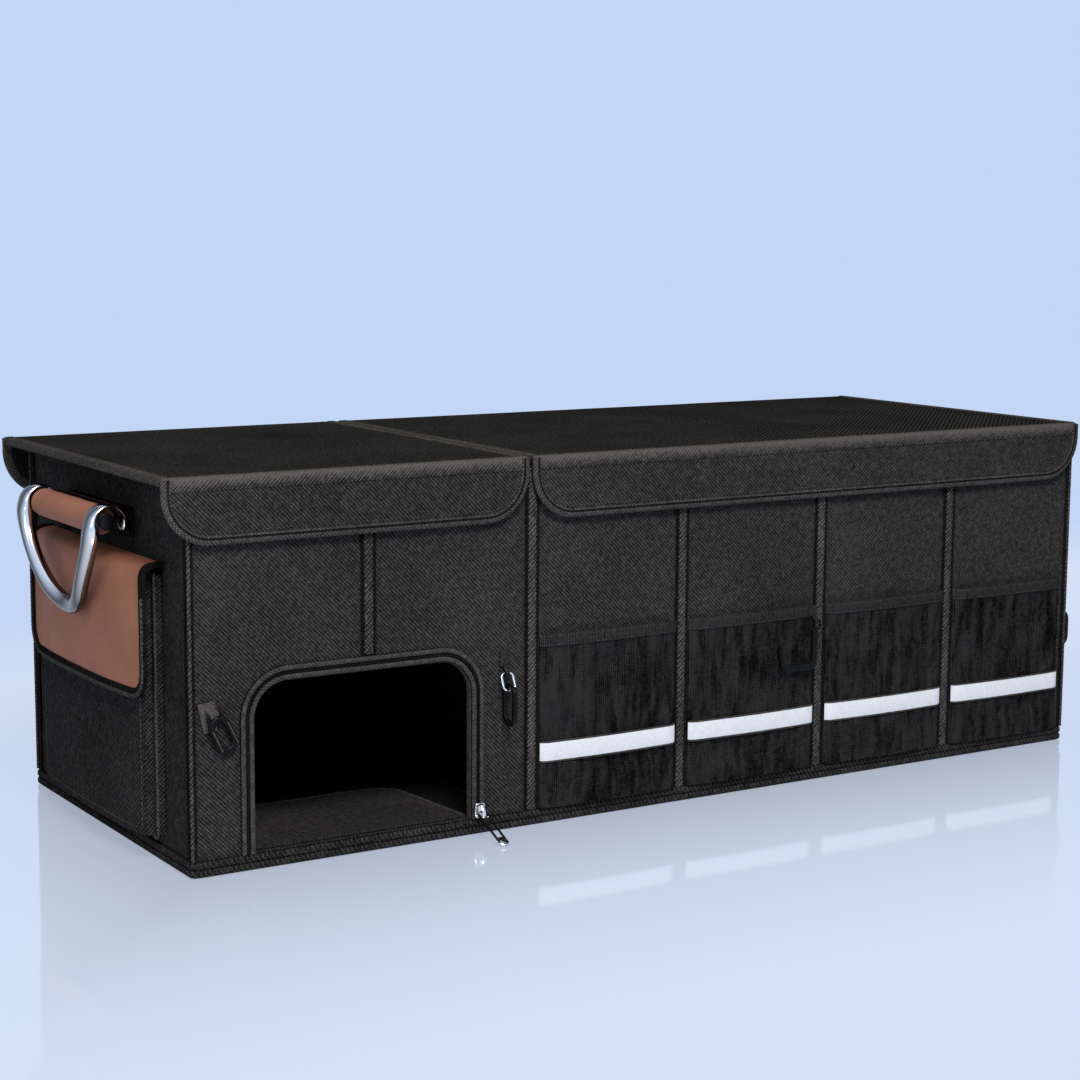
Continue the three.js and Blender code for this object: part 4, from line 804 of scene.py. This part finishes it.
def zip_pieces():
    x, face = -215.0, -183.9
    low, pull_y, pull_z = 15.1, -190.8, 19.0
    half = [(-3.4, 13), (-4.4, 12.3), (-5, 5.8), (-4.8, 2.4), (-3.3, 0)]
    outline = np.roll(both_sides(*half), -4, 0)
    centre = np.array([0, 6.5])
    rings = []
    for depth, size in ((0.3, 0.93), (0.7, 1.0), (2.2, 1.0), (2.7, 0.92)):
        ring = centre + (outline - centre) * size
        rings.append(pile(x + ring[:, 0], face - depth, low + ring[:, 1]))
    bridge_path = [[x, y, z] for y, z in (
        (face - 2.4, low + 11.8), (face - 4.2, low + 12.4), (face - 6.2, low + 11.2),
        (pull_y - 1.9, pull_z + 3.6), (pull_y - 2.6, pull_z + 0.4), (pull_y - 1.8, pull_z - 2.2),
        (face - 4.0, pull_z - 3.2), (face - 2.4, pull_z - 2.8))]
    bridge = sweep(smooth(bridge_path, 5), (0.0, -1, 0.02), oval(1.7, 0.75, 10, 0.8))
    make("slider_body", [loft(rings), bridge], [CHROME], "slider", "zip_slider")

    turn = Matrix.Rotation(math.asin((pull_z - 1.65) / 41.8), 3, "X")
    half = 4.75 - 1.1
    leg = np.array([0.4, -12, -24, -36])
    loop = np.concatenate([pile(-half, leg), arc(0, -38.0, half, pi, 2 * pi, 9), pile(half, leg[::-1])])
    wire = sweep(smooth(pile(*loop.T, 0), 3), UP, oval(1.15, 1.0, 10, 0.9))
    weight = sweep([[0, y, 0] for y in (-39.3, -36.5, -33.2, -31.8)], UP,
                   [oval(a, b, 12, 0.7) for a, b in ((2.4, 0.4), (3.2, 0.8), (3.2, 0.8), (2.2, 0.5))])
    pin = sweep([[-3.9, -0.5, 0], [3.9, -0.5, 0]], UP, oval(0.65, 0.65, 10))
    parts = [moved(p, turn, (x, pull_y, pull_z)) for p in (wire, weight, pin)]
    make("puller_loop", parts, [CHROME], "puller", "zip_puller")


# Lids: cloth over a stiff plate, bound ends, cloth over the folds to the flaps, rounded flaps
def lid_plate(side, x0, x1):
    creased = x0 < CREASE < x1
    xs = np.linspace(x0 + 1, x1 - 1, int((x1 - x0) / 5))
    if creased:
        xs = np.unique(np.concatenate([xs, np.linspace(CREASE - 5, CREASE + 5, 13)]))
    rim = [180.6, 181.8, 182.5, 182.8]
    x, y = grid(xs, np.concatenate([-np.array(rim[::-1]), np.linspace(-178.5, 178.5, 50), rim]))
    drop = clamp(np.abs(y) - 178.5, 0, 4.3) ** 2 * 0.13
    top = LID_Z - 0.25 - drop + 0.16 * ripple(x, y, 101 + int(x1), 120)
    if creased:
        top = top - 1.5 * bell((x - CREASE) / 1.7) + 0.35 * bell((np.abs(x - CREASE) - 4.5) / 2)
    parts = [slab(pile(x, y, top), pile(x, y, 320.7 + 0.5 * (drop > 1)), pile(x, y), None, (0, 1))]
    for sign, end in ((1, x0), (-1, x1)):
        hem, row = end + sign * 4.4, end + sign * 6.6
        parts.append(sweep(resample([[hem, -181.5, 324.2], [hem, 181.5, 324.2]], 1.3), UP,
                           [(-4.3, -2.6), (-4.4, 2.4), (-3.6, 3.5), (-1, 3.75), (3.4, 3.6), (4.4, 2.9),
                            (4.4, -3.4), (-3.4, -3.6)], mat=2, grow=ribbed(3.1, 0.02)))
        parts.append(stitches([[row, -179, 327.85], [row, 179, 327.85]], UP, 4.4, 3.1, 0.8, 3))
    lid = make(side + "_lid_cloth", parts, [LID_CLOTH_PAINTED_SHADE, LINING, TAPE, THREAD], "lid_" + side,
               side + "_lid")


def fold_strip(name, x0, x1, sign, body_a, body_b):
    """Cloth over the fold between a lid and its flap."""
    xs = np.linspace(x0 + 1.2, x1 - 1.2, int((x1 - x0) / 7))[:, None]
    path = resample([(176.0, 327.25), (179.5, 327.35), (182.6, 327.3), (184.8, 326.8), (186.4, 325.4),
                     (187.2, 323.2), (187.45, 320.0), (187.45, 316.0)], 1.6)
    wave = 0.12 * ripple(xs, path[None, :, 0] * 3, 55 + int(x1), 60)
    inward = np.abs(unit(pile(-np.gradient(path[:, 1]), np.gradient(path[:, 0]))))
    outer = pile(xs, sign * (path[:, 0] + wave * 0.3), path[:, 1] + wave * 0.3)
    inner = outer - 0.55 * pile(0, sign * inward[:, 0], inward[:, 1])
    make(name, [slab(outer, inner, pile(xs, run_length(path)))], [FOLD_PAINTED_HIGHLIGHT], None,
         blend=(body_a, body_b, (0, sign * 0.1795, 0.3272), (0, sign * 0.1875, 0.3215)))


def lid_flap(node, x0, x1, sign, body):
    up = (0, sign, 0)

    def line_at(inset, face, step):
        flat = arch(x0 + inset, x1 - inset, LID_Z - 1, FLAP_LOW + inset, FLAP_RADIUS - inset, 18)
        return standing(resample(flat, step), sign * face)

    bend = FLAP_RADIUS * (1 - np.cos(np.linspace(0, pi / 2, 16)))
    middle = np.linspace(x0 + FLAP_RADIUS, x1 - FLAP_RADIUS, int((x1 - x0) / 6))[1:-1]
    xs = np.concatenate([x0 + bend, middle, x1 - bend[::-1]])
    xs[0], xs[-1] = x0 + 1.2, x1 - 1.2
    into = clamp(FLAP_RADIUS - np.minimum(xs - x0, x1 - xs), 0, FLAP_RADIUS)
    low = (FLAP_LOW + 1 + FLAP_RADIUS - np.sqrt(clamp(FLAP_RADIUS ** 2 - into ** 2, 0, None)))[:, None]
    x, t = grid(xs, np.linspace(0, 1, 18))
    z = low + t * (LID_Z - 0.6 - low)
    swell = clamp(least(x - x0, x1 - x, z - low) / 14)
    face = 186.3 + 0.5 * swell + 0.22 * ripple(x, z, 130 + int(x1) + sign, 90)
    if x0 < CREASE < x1:
        face = face - 1.1 * bell((x - CREASE) / 1.8)
    round_top = clamp(z - 322.5, 0, 5) ** 2 * 0.12
    ring = [(sign * a, b) for a, b in (
        (-3.9, -1.4), (-4.0, 1.0), (-3.2, 2.0), (-1.3, 2.5), (1.6, 2.5), (3.4, 1.9), (3.9, 0.9), (3.9, -2.0),
        (-3.3, -2.2))]
    parts = [slab(pile(x, sign * (face - round_top), z), pile(x, sign * 183.7, z), pile(x, z), None, (0, 1)),
             sweep(line_at(3.9, 185.55, 1.2), up, ring, mat=2, grow=ribbed(3.0, 0.018)),
             # A thin dark strip on the tape: painted shade of the groove between its edge and the stitch row.
             sweep(line_at(5.2, 188.0, 2), up, both_sides((-0.9, -1), (-0.9, 0.12)), mat=4),
             stitches(line_at(10.4, 186.75, 2), up, 4.3, 3.0, 0.6, 3)]
    make(node + "_cloth", parts, [CLOTH, LINING, TAPE, THREAD, DARK_TAPE], body, node)


def lids():
    for side, (x0, x1) in LIDS.items():
        lid_plate(side, x0, x1)
        edges = ((-1, side + "_front_", "flap_" + side), (1, side + "_rear_", "box"))
        for sign, name, body in edges:
            lid_flap(name + "flap", x0, x1, sign, body)
        for sign, name, body in edges:
            fold_strip(name + "fold", x0, x1, sign, "lid_" + side, body)


# Ends: belly pocket, leather flap, grip and bail. Built with "out" away from the wall.
def end_face(y):
    return 15.5 + 6.5 * (1 - clamp(np.abs(y) / 118) ** 3)


def on_end(sign, parts):
    """Turns parts built with out, across, up into the frame's place for that end."""
    return [dict(p, v=p["v"] * (sign, -sign, 1) + (sign * HALF_L, 0, 0)) for p in parts]


def end_pocket(sign, side):
    y, z = grid(np.linspace(-117.5, 117.5, 64), np.linspace(22.5, 240.5, 50))
    sag = np.sin(pi * clamp((z - 22) / 224)) ** 0.6
    hold = clamp((118 - np.abs(y)) / 20) * clamp((z - 22) / 14) * clamp((241 - z) / 14)
    wave = (0.5 * ripple(y, z, 150 + sign, 90) + 0.25 * ripple(y, z, 160 + sign, 35)) * hold
    out = end_face(y) - 0.55 + wave * 0.8 - 0.5 * (1 - sag) * hold
    ys = np.linspace(-117.5, 117.5, 60)
    rim = resample(pile(end_face(ys) - 1.3, ys, 239.6), 1.5)
    parts = [slab(pile(out, y, z), pile(out - 1.9, y * 0.985, z), pile(y, z), None, (0, 1)),
             plate(0.5, 15, -116, 116, 22.4, 24.2, 170, 0.1, 5, 0.2),
             sweep(rim, UP, oval(1.6, 2.6, 10), mat=2, grow=ribbed(2.8, 0.02))]
    for edge in (-1, 1):
        wall_y, bar_y, bar_half = edge * 117.2, edge * 120.5, 4.2
        parts.append(sweep([[0.5, wall_y, 134], [14.6, wall_y, 134]], UP,
                           [(-0.8, -111), (0.8, -111), (0.8, 106), (-0.8, 106)]))
        parts.append(sweep(resample([[4.0, bar_y, 24], [4.0, bar_y, 241.5]], 3), OUT,
                           both_sides((-4.2, -3.5), (-4.4, 2.2), (-3.4, 3.2))))
        loop = np.concatenate([[[bar_y - bar_half, 243]], arc(bar_y, 24.5, bar_half, pi, 2 * pi, 10),
                               [[bar_y + bar_half, 243]]])
        parts.append(sweep(resample(pile(7.0, *loop.T), 1.1), OUT, oval(1.1, 1.2, 8), mat=2,
                           grow=twisted(3.2, 0.08, 8)))
    row = resample([[-113, 243], [-113, 28], [113, 28], [113, 243]], 2)
    parts.append(stitches(pile(end_face(row[:, 0]) - 0.3, *row.T), OUT, 4.4, 3.1, 0.7, 3))
    make(side + "_end_pocket_cloth", on_end(sign, parts), [SIDE_CLOTH, LINING, TAPE, THREAD], "box",
         side + "_end_pocket")


def leather_low(y):
    into = clamp(FLAP_CORNER - (FLAP_HALF - np.abs(y)), 0, FLAP_CORNER)
    return FLAP_FOOT + FLAP_CORNER - np.sqrt(clamp(FLAP_CORNER ** 2 - into ** 2, 0, None))


def fold_path(y):
    """Underside of the leather from the wall over its soft fold and down, with its outward steps."""
    face, low = float(end_face(y)) + 1.8, float(leather_low(y))
    inner = smooth([(0.5, 249.4), (face * 0.45, 249.0), (face * 0.75, 247.8), (face - 1.9, 245.6),
                    (face - 0.6, 242.8), (face, 239.5), (face, 225), (face, low + 0.6)], 6)
    along = unit(np.gradient(inner, axis=0))
    return inner, pile(-along[:, 1], along[:, 0])


def leather_outline(inset):
    half = FLAP_HALF - inset
    return resample(arch(-half, half, 224, FLAP_FOOT + inset, FLAP_CORNER - inset, 12), 3)


def leather_flap(sign, side):
    bend = FLAP_HALF - FLAP_CORNER * (1 - np.cos(np.linspace(0, pi / 2, 14)))
    ys = np.concatenate([-bend, np.linspace(-108, 108, 60)[1:-1], bend[::-1]])
    ys[0], ys[-1] = -131.6, 131.6
    count = 52
    inner, outer = [], []
    for y in ys:
        a = resample(np.column_stack(fold_path(y)), 2.5)
        at, old = np.linspace(0, 1, count), np.linspace(0, 1, len(a))
        out, up, step_out, step_up = (np.interp(at, old, column) for column in a.T)
        hold = clamp((up - leather_low(y)) / 25) * clamp((247 - up) / 10)
        out = out + (0.5 * ripple(np.full(count, y), up, 180 + sign, 110) * hold
                     * clamp((FLAP_HALF - abs(y)) / 25) + 0.15)
        inner.append(pile(out, y, up))
        outer.append(pile(out + 2.1 * step_out, y, up + 2.1 * step_up))
    inner, outer = np.array(inner), np.array(outer)
    flap = make(side + "_leather_flap_hide", on_end(sign, [slab(outer, inner, outer[..., 1:])]), [LEATHER],
                "box", side + "_leather_flap")

    line, edge = leather_outline(4.4), 127.6
    over, step = (values[:-9:2] for values in fold_path(edge))
    shift = 1.3 * step
    left, right = (pile(over[:, 0] + shift[:, 0], y, over[:, 1] + shift[:, 1]) for y in (-edge, edge))
    ups = pile(step[:, 0], 0, step[:, 1])
    path = np.concatenate([left, pile(end_face(line[:, 0]) + 3.1, *line.T), right[::-1]])
    ups = np.concatenate([ups, np.tile([1.0, 0, 0], (len(line), 1)), ups[::-1]])
    both = resample(np.column_stack([path, ups]), 1.3)
    ring = [(-4.4, -1.5), (-4.7, 0.9), (-4.0, 1.9), (-1.5, 2.4), (2.2, 2.4), (4.2, 1.9), (4.6, 1.2),
            (4.6, -1.6)]
    row = resample(leather_outline(2.2), 1)
    parts = [sweep(both[:, :3], both[:, 3:], ring, grow=ribbed(3.0, 0.03)),
             sweep(pile(end_face(row[:, 0]) + 5.0, *row.T), OUT, oval(2.1, 1.3, 10), mat=1,
                   grow=twisted(3.6, 0.1, 10))]
    make(side + "_flap_tape", on_end(sign, parts), [DARK_TAPE, ROPE], "box",
         side + "_flap_binding")


def grip(sign, side):
    """Leather rolled round the rod, with its tongue sewn to the wall, and the rod with its heads."""
    tips = [67.5, 68.6, 69]
    ys = np.concatenate([-np.array(tips[::-1]), np.linspace(-65, 65, 60), tips])
    y, a = grid(ys, np.linspace(0, 2 * pi, 37)[:-1])
    ends = clamp(69 - np.abs(y), 0, 3) / 3
    seam = 0.9 * bell((np.mod(a - 3.55 + pi, 2 * pi) - pi) / 0.09)
    swell = 0.13 * ripple(y, a * 30, 190 + sign, 40) + 0.1 * np.exp(-((y / 60) ** 8))
    r = 10.9 + 1.2 * ends ** 0.5 + swell - seam
    outer, inner = (pile(HANDLE_OUT + size * np.cos(a), y, HANDLE_Z + size * np.sin(a)) for size in (r, 5.0))
    roll = loft(np.concatenate([outer, inner[::-1]]), True, np.concatenate([ys, ys[::-1] + 1]))
    tongue = np.array([(0.4, 290), (3.2, 290.2), (12, 291.2), (21, 291.6), (24, 289.5), (22, 284), (12, 281),
                       (4.2, 279.5), (3.3, 276), (3.2, 266), (2.4, 265.2), (0.4, 265.2)])
    tongue = loft(pile(tongue[:, 0], np.linspace(-68.5, 68.5, 40)[:, None], tongue[:, 1]), mat=2)
    rows = [stitches([[out, -66, z], [out, 66, z]], up, 4.2, 3.0, 0.8, 1)
            for out, z, up in ((3.35, 268.5, OUT), (14, 291.6, UP))]
    make(side + "_grip_hide", on_end(sign, [roll, tongue, *rows]), [LEATHER, LEATHER_EDGE, DARK_TAPE], "box",
         side + "_leather_grip")
    rod = resample([[HANDLE_OUT, -83.2, HANDLE_Z], [HANDLE_OUT, 83.2, HANDLE_Z]], 8)
    parts = [sweep(rod, UP, oval(4.6, 4.6, 20))]
    for end in (-1, 1):
        stations = ((80.9, 5.6), (81.2, 6.6), (82.2, 6.8), (82.9, 6.3), (83.3, 4.4))
        parts.append(loft([pile(HANDLE_OUT + oval(size, size, 20)[:, 0], end * place,
                                HANDLE_Z + oval(size, size, 20)[:, 1]) for place, size in stations]))
    make(side + "_rod_metal", on_end(sign, parts), [DARK_STEEL], "box", side + "_grip_rod")


def bail(sign, side):
    """One formed bar: broad hooks over the rod that narrow into a round bar, with an ear in each."""
    stations, radius, hook_y, last = [], 13.8, 79, 14
    for i in range(last + 1):
        share = i / last
        angle = pi * 1.12 * (1 - share)
        out, up = math.cos(angle), math.sin(angle)
        stations.append((HANDLE_OUT + radius * out, -hook_y, HANDLE_Z + radius * up, out, 0, up,
                         (8.4 + 1.8 * share ** 3) * min(1, 0.7 + i * 0.12), 1.4 + 3.0 * share ** 4))
    # Share of the half span, share of the drop, half width, half thickness
    arm = [(1.0, 0.09, 10.6, 6.2), (0.965, 0.2, 9.4, 6.5), (0.89, 0.35, 7.6, 6.4), (0.77, 0.52, 7.1, 6.4),
           (0.62, 0.69, 7.3, 6.4), (0.46, 0.84, 7.5, 6.4), (0.3, 0.935, 7.6, 6.3), (0.15, 0.985, 7.6, 6.2),
           (0, 1, 7.6, 6.1)]
    apex = 22 + 0.3 + 1.5 + 2.6 + 0.5 + 6.1
    for y, drop, across, deep in arm:
        out = HANDLE_OUT + (radius + (apex - HANDLE_OUT - radius) * drop ** 4)
        stations.append((out, -hook_y * y, HANDLE_Z - 80 * drop, 1.0, 0, 0, across, deep))
    stations = np.array(stations)
    mirror = np.array([1, -1, 1, 1, -1, 1, 1, 1])
    fine = smooth(np.concatenate([stations, stations[-2::-1] * mirror]), 4)
    parts = [sweep(fine[:, :3], fine[:, 3:6], [oval(a, b, 24, 0.9) for a, b in fine[:, 6:8]])]
    a = np.linspace(0, 2 * pi, 33)[:-1]
    for y in (-hook_y, hook_y):
        ring = [pile(HANDLE_OUT + size * np.cos(a), y + dy, HANDLE_Z + size * np.sin(a))
                for dy, size in ((-1.5, 6.7), (-1.1, 7.2), (1.1, 7.2), (1.5, 6.7), (1.5, 5.1), (-1.5, 5.1))]
        # The ear rings and bars are part of the chrome bail but take the dark rod metal: painted shade in the
        # hollow of each hook.
        parts.append(loft(ring, True, np.arange(6.0), 1))
        parts.append(sweep([[HANDLE_OUT + 6.6, y, HANDLE_Z], [HANDLE_OUT + 13, y, HANDLE_Z]], UP,
                           oval(1.4, 5.8, 14, 0.7), mat=1))
        shield = [[HANDLE_OUT - out, y, HANDLE_Z + up] for out, up in ((13.6, -6.5), (13.2, -2), (12.6, 3))]
        sizes = ((5.0, 1.5), (8.2, 2.2), (8.3, 1.6))
        parts.append(sweep(shield, OUT, [oval(a, b, 16, 0.8) for a, b in sizes]))
    make(side + "_bail_metal", on_end(sign, parts), [CHROME, DARK_STEEL], "bail_" + side,
         side + "_handle_bail", 50)


def both_ends():
    for side, sign in (("left", -1), ("right", 1)):
        end_pocket(sign, side)
        leather_flap(sign, side)
        grip(sign, side)
        bail(sign, side)


# Strap clips. Built with +Z up and -Y away from the wall, under their own turn and place.
LOOP_OUT = 4.8


def wire_ring(width, high, radius, across, flat, sides=10, power=1.0):
    """A ring that hangs from its top at the origin."""
    loop = rounded_box(width / 2, high / 2, radius)
    path = resample(standing(loop - (0, high / 2), 0), 0.8, True)
    return sweep(path, FRONT, oval(across / 2, flat / 2, sides, power), True)


def webbing_tab(name, low, high, left, right, tilt, turn, place, node, flare=0.0):
    """A folded webbing patch sewn down, with a loop at its foot that holds the clip."""
    mid, half = (left + right) / 2, (right - left) / 2
    heights = np.arange(low, high + 0.5, 1.0)
    widths = half * (1 + flare * (heights - low) / (high - low)) * (1 + 0.02 * np.sin(heights * 3.1))
    rings = [[(-h, -0.85), (-h, 0.5), (-h + 0.6, 0.95), (-0.3 * h, 0.7), (0, 1.05), (0.3 * h, 0.7),
              (h - 0.6, 0.95), (h, 0.5), (h, -0.85)] for h in widths]
    patch = sweep(pile(mid - 0.1 * flare * half * (heights - low), -1.2, heights), FRONT, rings)
    angle = np.linspace(math.radians(-265), math.radians(80), 26)
    loop = pile(-LOOP_OUT - 2.45 * np.cos(angle), 2.45 * np.sin(angle))
    loop = np.concatenate([[(-1.5, 9.0), (-3.2, 5.6)], loop])
    around = sweep(smooth(pile(0, *loop.T), 2), OUT, oval(0.7, 3.9 if flare else 2.0, 10, 0.6))
    x0, x1, face = mid - half + 1.6, mid + half - 1.6, -2.3
    box_row = [[x, face, z] for x, z in ((x0, low + 2), (x1, low + 2), (x1, high - 2), (x0, high - 2))]
    rows = [stitches(box_row, FRONT, 2.6, 1.9, 0.55, 1, True)]
    if high - low > 20:
        rows.append(stitches([[x0, face, -2], [x1, face, -2]], FRONT, 2.6, 1.9, 0.55, 1))
    parts = [patch, moved(around, Matrix.Rotation(tilt, 3, "Y")), *rows]
    make(name, [moved(p, turn, place) for p in parts], [WEBBING if flare else BAND, THREAD], "box",
         node)


def snap_clip(width, high, drop):
    across, gate_x = width - 4, width / 2 - 1.7
    body = wire_ring(across, high - 4, across / 2 - 0.5, 5.2, 4.6, 12, 0.8)
    gate = sweep(resample([[gate_x, 0, -high * 0.25], [gate_x, 0, -high * 0.67]], 1.0), FRONT,
                 oval(2.3, 2.1, 12, 0.7), grow=ribbed(1.6, 0.06))
    bend = [[gate_x - aside, 0, -high * share] for aside, share in ((0, 0.66), (1.2, 0.74), (2.6, 0.8))]
    catch = sweep(bend, FRONT, oval(1.9, 1.9, 10))
    return [moved(p, None, (0, 0, drop)) for p in (body, gate, catch)]


def strap_hook():
    path = [(0, -6.6), (0, -16), (0, -30), (-0.4, -38.5), (-3.8, -42.2), (-12, -42.6), (-26, -42.6),
            (-32.5, -42.0), (-36.5, -38.2), (-38.4, -31), (-39.4, -24), (-39.6, -19.2)]
    path = smooth([[x, 0, z] for x, z in path], 5)
    size = np.interp(np.linspace(0, 1, len(path)), [0, 0.45, 0.62, 0.9, 1], [3.1, 3.4, 3.5, 2.9, 1.9])
    return [sweep(path, FRONT, [oval(r, 2.2, 14, 0.7) for r in size]), wire_ring(11.7, 7.5, 1.4, 2.2, 2.2)]


def turned(parts, angle, axis, place, outer=None, outer_place=(0, 0, 0)):
    turn = Matrix.Rotation(angle, 3, axis)
    return [moved(moved(p, turn, place), outer, outer_place) for p in parts]


def corner_clip():
    tilt, place = -0.45, (-463, -180, 135)
    webbing_tab("corner_tab_webbing", -15, 9, -7, 5, tilt, None, place, "corner_clip_tab", 0.25)
    # Two thin light bars in the webbing's grey along the clip's long sides: painted highlights on the black
    # clip.
    edges = [sweep([[x, y, z] for y, z in ((-2.5, -12), (-2.9, -14), (-2.9, -29), (-2.5, -31))], FRONT,
                   oval(0.6, 0.4, 6), mat=1) for x in (-7.4, 7.4)]
    hook = [wire_ring(11.7, 7.5, 1.4, 2.2, 2.2), *snap_clip(18.5, 32, -5.5), *edges]
    place = (place[0], place[1] - LOOP_OUT, place[2])
    make("corner_hook_clip", turned(hook, tilt, "Y", place), [BLACK, WEBBING], "corner_hook",
         "corner_clip_hook")


def ring_clips():
    lean = math.asin((10 + 0.3 + 0.4 - LOOP_OUT) / 15)
    foot = (0, -LOOP_OUT - 15 * math.sin(lean), -15 * math.cos(lean))
    for side, place, spin in (("door", (-188, -180, 140), 0), ("end", (480, -166, 140), pi / 2)):
        turn = Matrix.Rotation(spin, 3, "Z")
        webbing_tab(side + "_tab_webbing", 6, 20, -4, 4, 0, turn, place, side + "_clip_tab")
        ring = turned([wire_ring(11.5, 15, 3.4, 2.2, 2.2, 12)], -lean, "X", (0, -LOOP_OUT, 0), turn, place)
        make(side + "_ring_metal", ring, [CHROME], side + "_ring", side + "_clip_ring")
        hook = turned(snap_clip(20, 37, 3.3), -pi / 2, "Z", foot, turn, place)
        make(side + "_hook_clip", hook, [BLACK], side + "_hook", side + "_clip_hook")


def panel_clip():
    x0, x1 = POCKETS[1]
    x = x1 - 6.2
    place = (x, -HALF_D - 6.6 - 2.5 * math.sin(pi * (x - x0) / (x1 - x0)), 156)
    webbing_tab("panel_tab_webbing", 5, 14, -4, 4, 0, None, place, "panel_clip_tab")
    hook = [moved(p, None, (x, place[1] - LOOP_OUT, place[2])) for p in strap_hook()]
    make("panel_hook_clip", hook, [BLACK], "panel_hook", "panel_clip_hook")


for build in (front_and_rear, ends, dividers, floors, seams, corner_bindings, bottom_binding, mesh_pockets,
              zip_band, door_panel, zip_pieces, lids, both_ends, corner_clip, ring_clips, panel_clip):
    build()


# Studio: pale floor, soft lamps, pale sky
FAR, NEAR = srgb(195, 214, 245), srgb(213, 224, 245)


def area_light(name, place, target, size, power, color=(1, 1, 1)):
    light = bpy.data.lights.new(name, "AREA")
    light.shape = "RECTANGLE"
    light.size, light.size_y = size
    light.energy = power
    light.color = color
    lamp = add_object(name, light)
    lamp.location = place
    lamp.rotation_mode = "QUATERNION"
    lamp.rotation_quaternion = (Vector(target) - Vector(place)).to_track_quat("-Z", "Y")


def seen_rays(tree):
    """1 for rays from the camera, and for those it sees in something shiny or clear."""
    rays = tree.nodes.new("ShaderNodeLightPath")
    camera, glossy, clear = (Wire(tree, rays.outputs[f"Is {kind} Ray"])
                             for kind in ("Camera", "Glossy", "Transmission"))
    return math_node("MAXIMUM", math_node("MAXIMUM", camera, glossy), clear)


def mix(factor, a, b):
    node = factor.tree.nodes.new("ShaderNodeMixShader")
    for socket, wire in zip(node.inputs, (factor, a, b)):
        connect(factor.tree, wire, socket)
    return Wire(factor.tree, node.outputs[0])


def floor_look(tree):
    """Pale floor that fades into the sky's colour, and is polished near the box only."""
    place = add_node(tree, "TexCoord", "Object")
    split = tree.nodes.new("ShaderNodeSeparateXYZ")
    connect(tree, place, split.inputs[0])
    x, y = (Wire(tree, split.outputs[axis]) for axis in "XY")
    behind = ((y - 0.62) * 2.5 + noise(place, 1.2, 2) * 0.06).clamped()
    away = math_node("SQRT", math_node("POWER", x * 0.7, 2) + math_node("POWER", y, 2))
    distant = ((away - 1.5) * 0.3).clamped()
    color = ramp(math_node("MAXIMUM", behind, distant), (0.0, NEAR), (1.0, FAR))
    share = (((away - 0.25) * 1.6).clamped() * 0.25 + 0.75) * seen_rays(tree)
    body = mix(share, add_node(tree, "BsdfDiffuse", Color=color), add_node(tree, "Emission", Color=color))
    gap = math_node("MAXIMUM", math_node("ABSOLUTE", x) - 0.48, math_node("ABSOLUTE", y) - 0.18)
    polish = add_node(tree, "Fresnel", IOR=3.0) * math_node("POWER", (1 - gap * 2.1).clamped(), 1.7)
    return mix(polish, body, add_node(tree, "BsdfGlossy", Roughness=0.06, Color=(1, 1, 1, 1)))


def studio():
    scene = bpy.context.scene
    scene.view_settings.view_transform = "Standard"
    ground, span = bpy.data.meshes.new("studio_floor"), 24
    corners = [(x * span, y * span, -0.0005) for x, y in ((-1, -1), (1, -1), (1, 1), (-1, 1))]
    ground.from_pydata(corners, [], [(0, 1, 2, 3)])
    add_object("studio_floor", ground)
    material = bpy.data.materials.new("studio_floor")
    scene.world = bpy.data.worlds.new("studio")
    for block in (material, scene.world):
        block.use_nodes = True
        block.node_tree.nodes.clear()
    add_node(material.node_tree, "OutputMaterial", Surface=floor_look(material.node_tree))
    ground.materials.append(material)
    tree = scene.world.node_tree
    sky = add_node(tree, "Background", Color=(*FAR, 1))
    lit = add_node(tree, "Background", Color=(0.95, 0.97, 1, 1), Strength=0.24)
    add_node(tree, "OutputWorld", Surface=mix(seen_rays(tree), lit, sky))
    area_light("key", (-0.9, -2.35, 2.6), (-0.1, 0, 0.12), (1.3, 0.8), 104, (1, 0.99, 0.98))
    area_light("top", (-0.2, 0.2, 2.6), (0, 0, 0), (2.4, 1.6), 3)
    area_light("left", (-2.8, -0.9, 1.3), (-0.4, 0, 0.2), (1.0, 1.0), 10)
    area_light("back", (0.4, 2.6, 2.6), (0, 0, 0.15), (2.0, 1.2), 13)


studio()
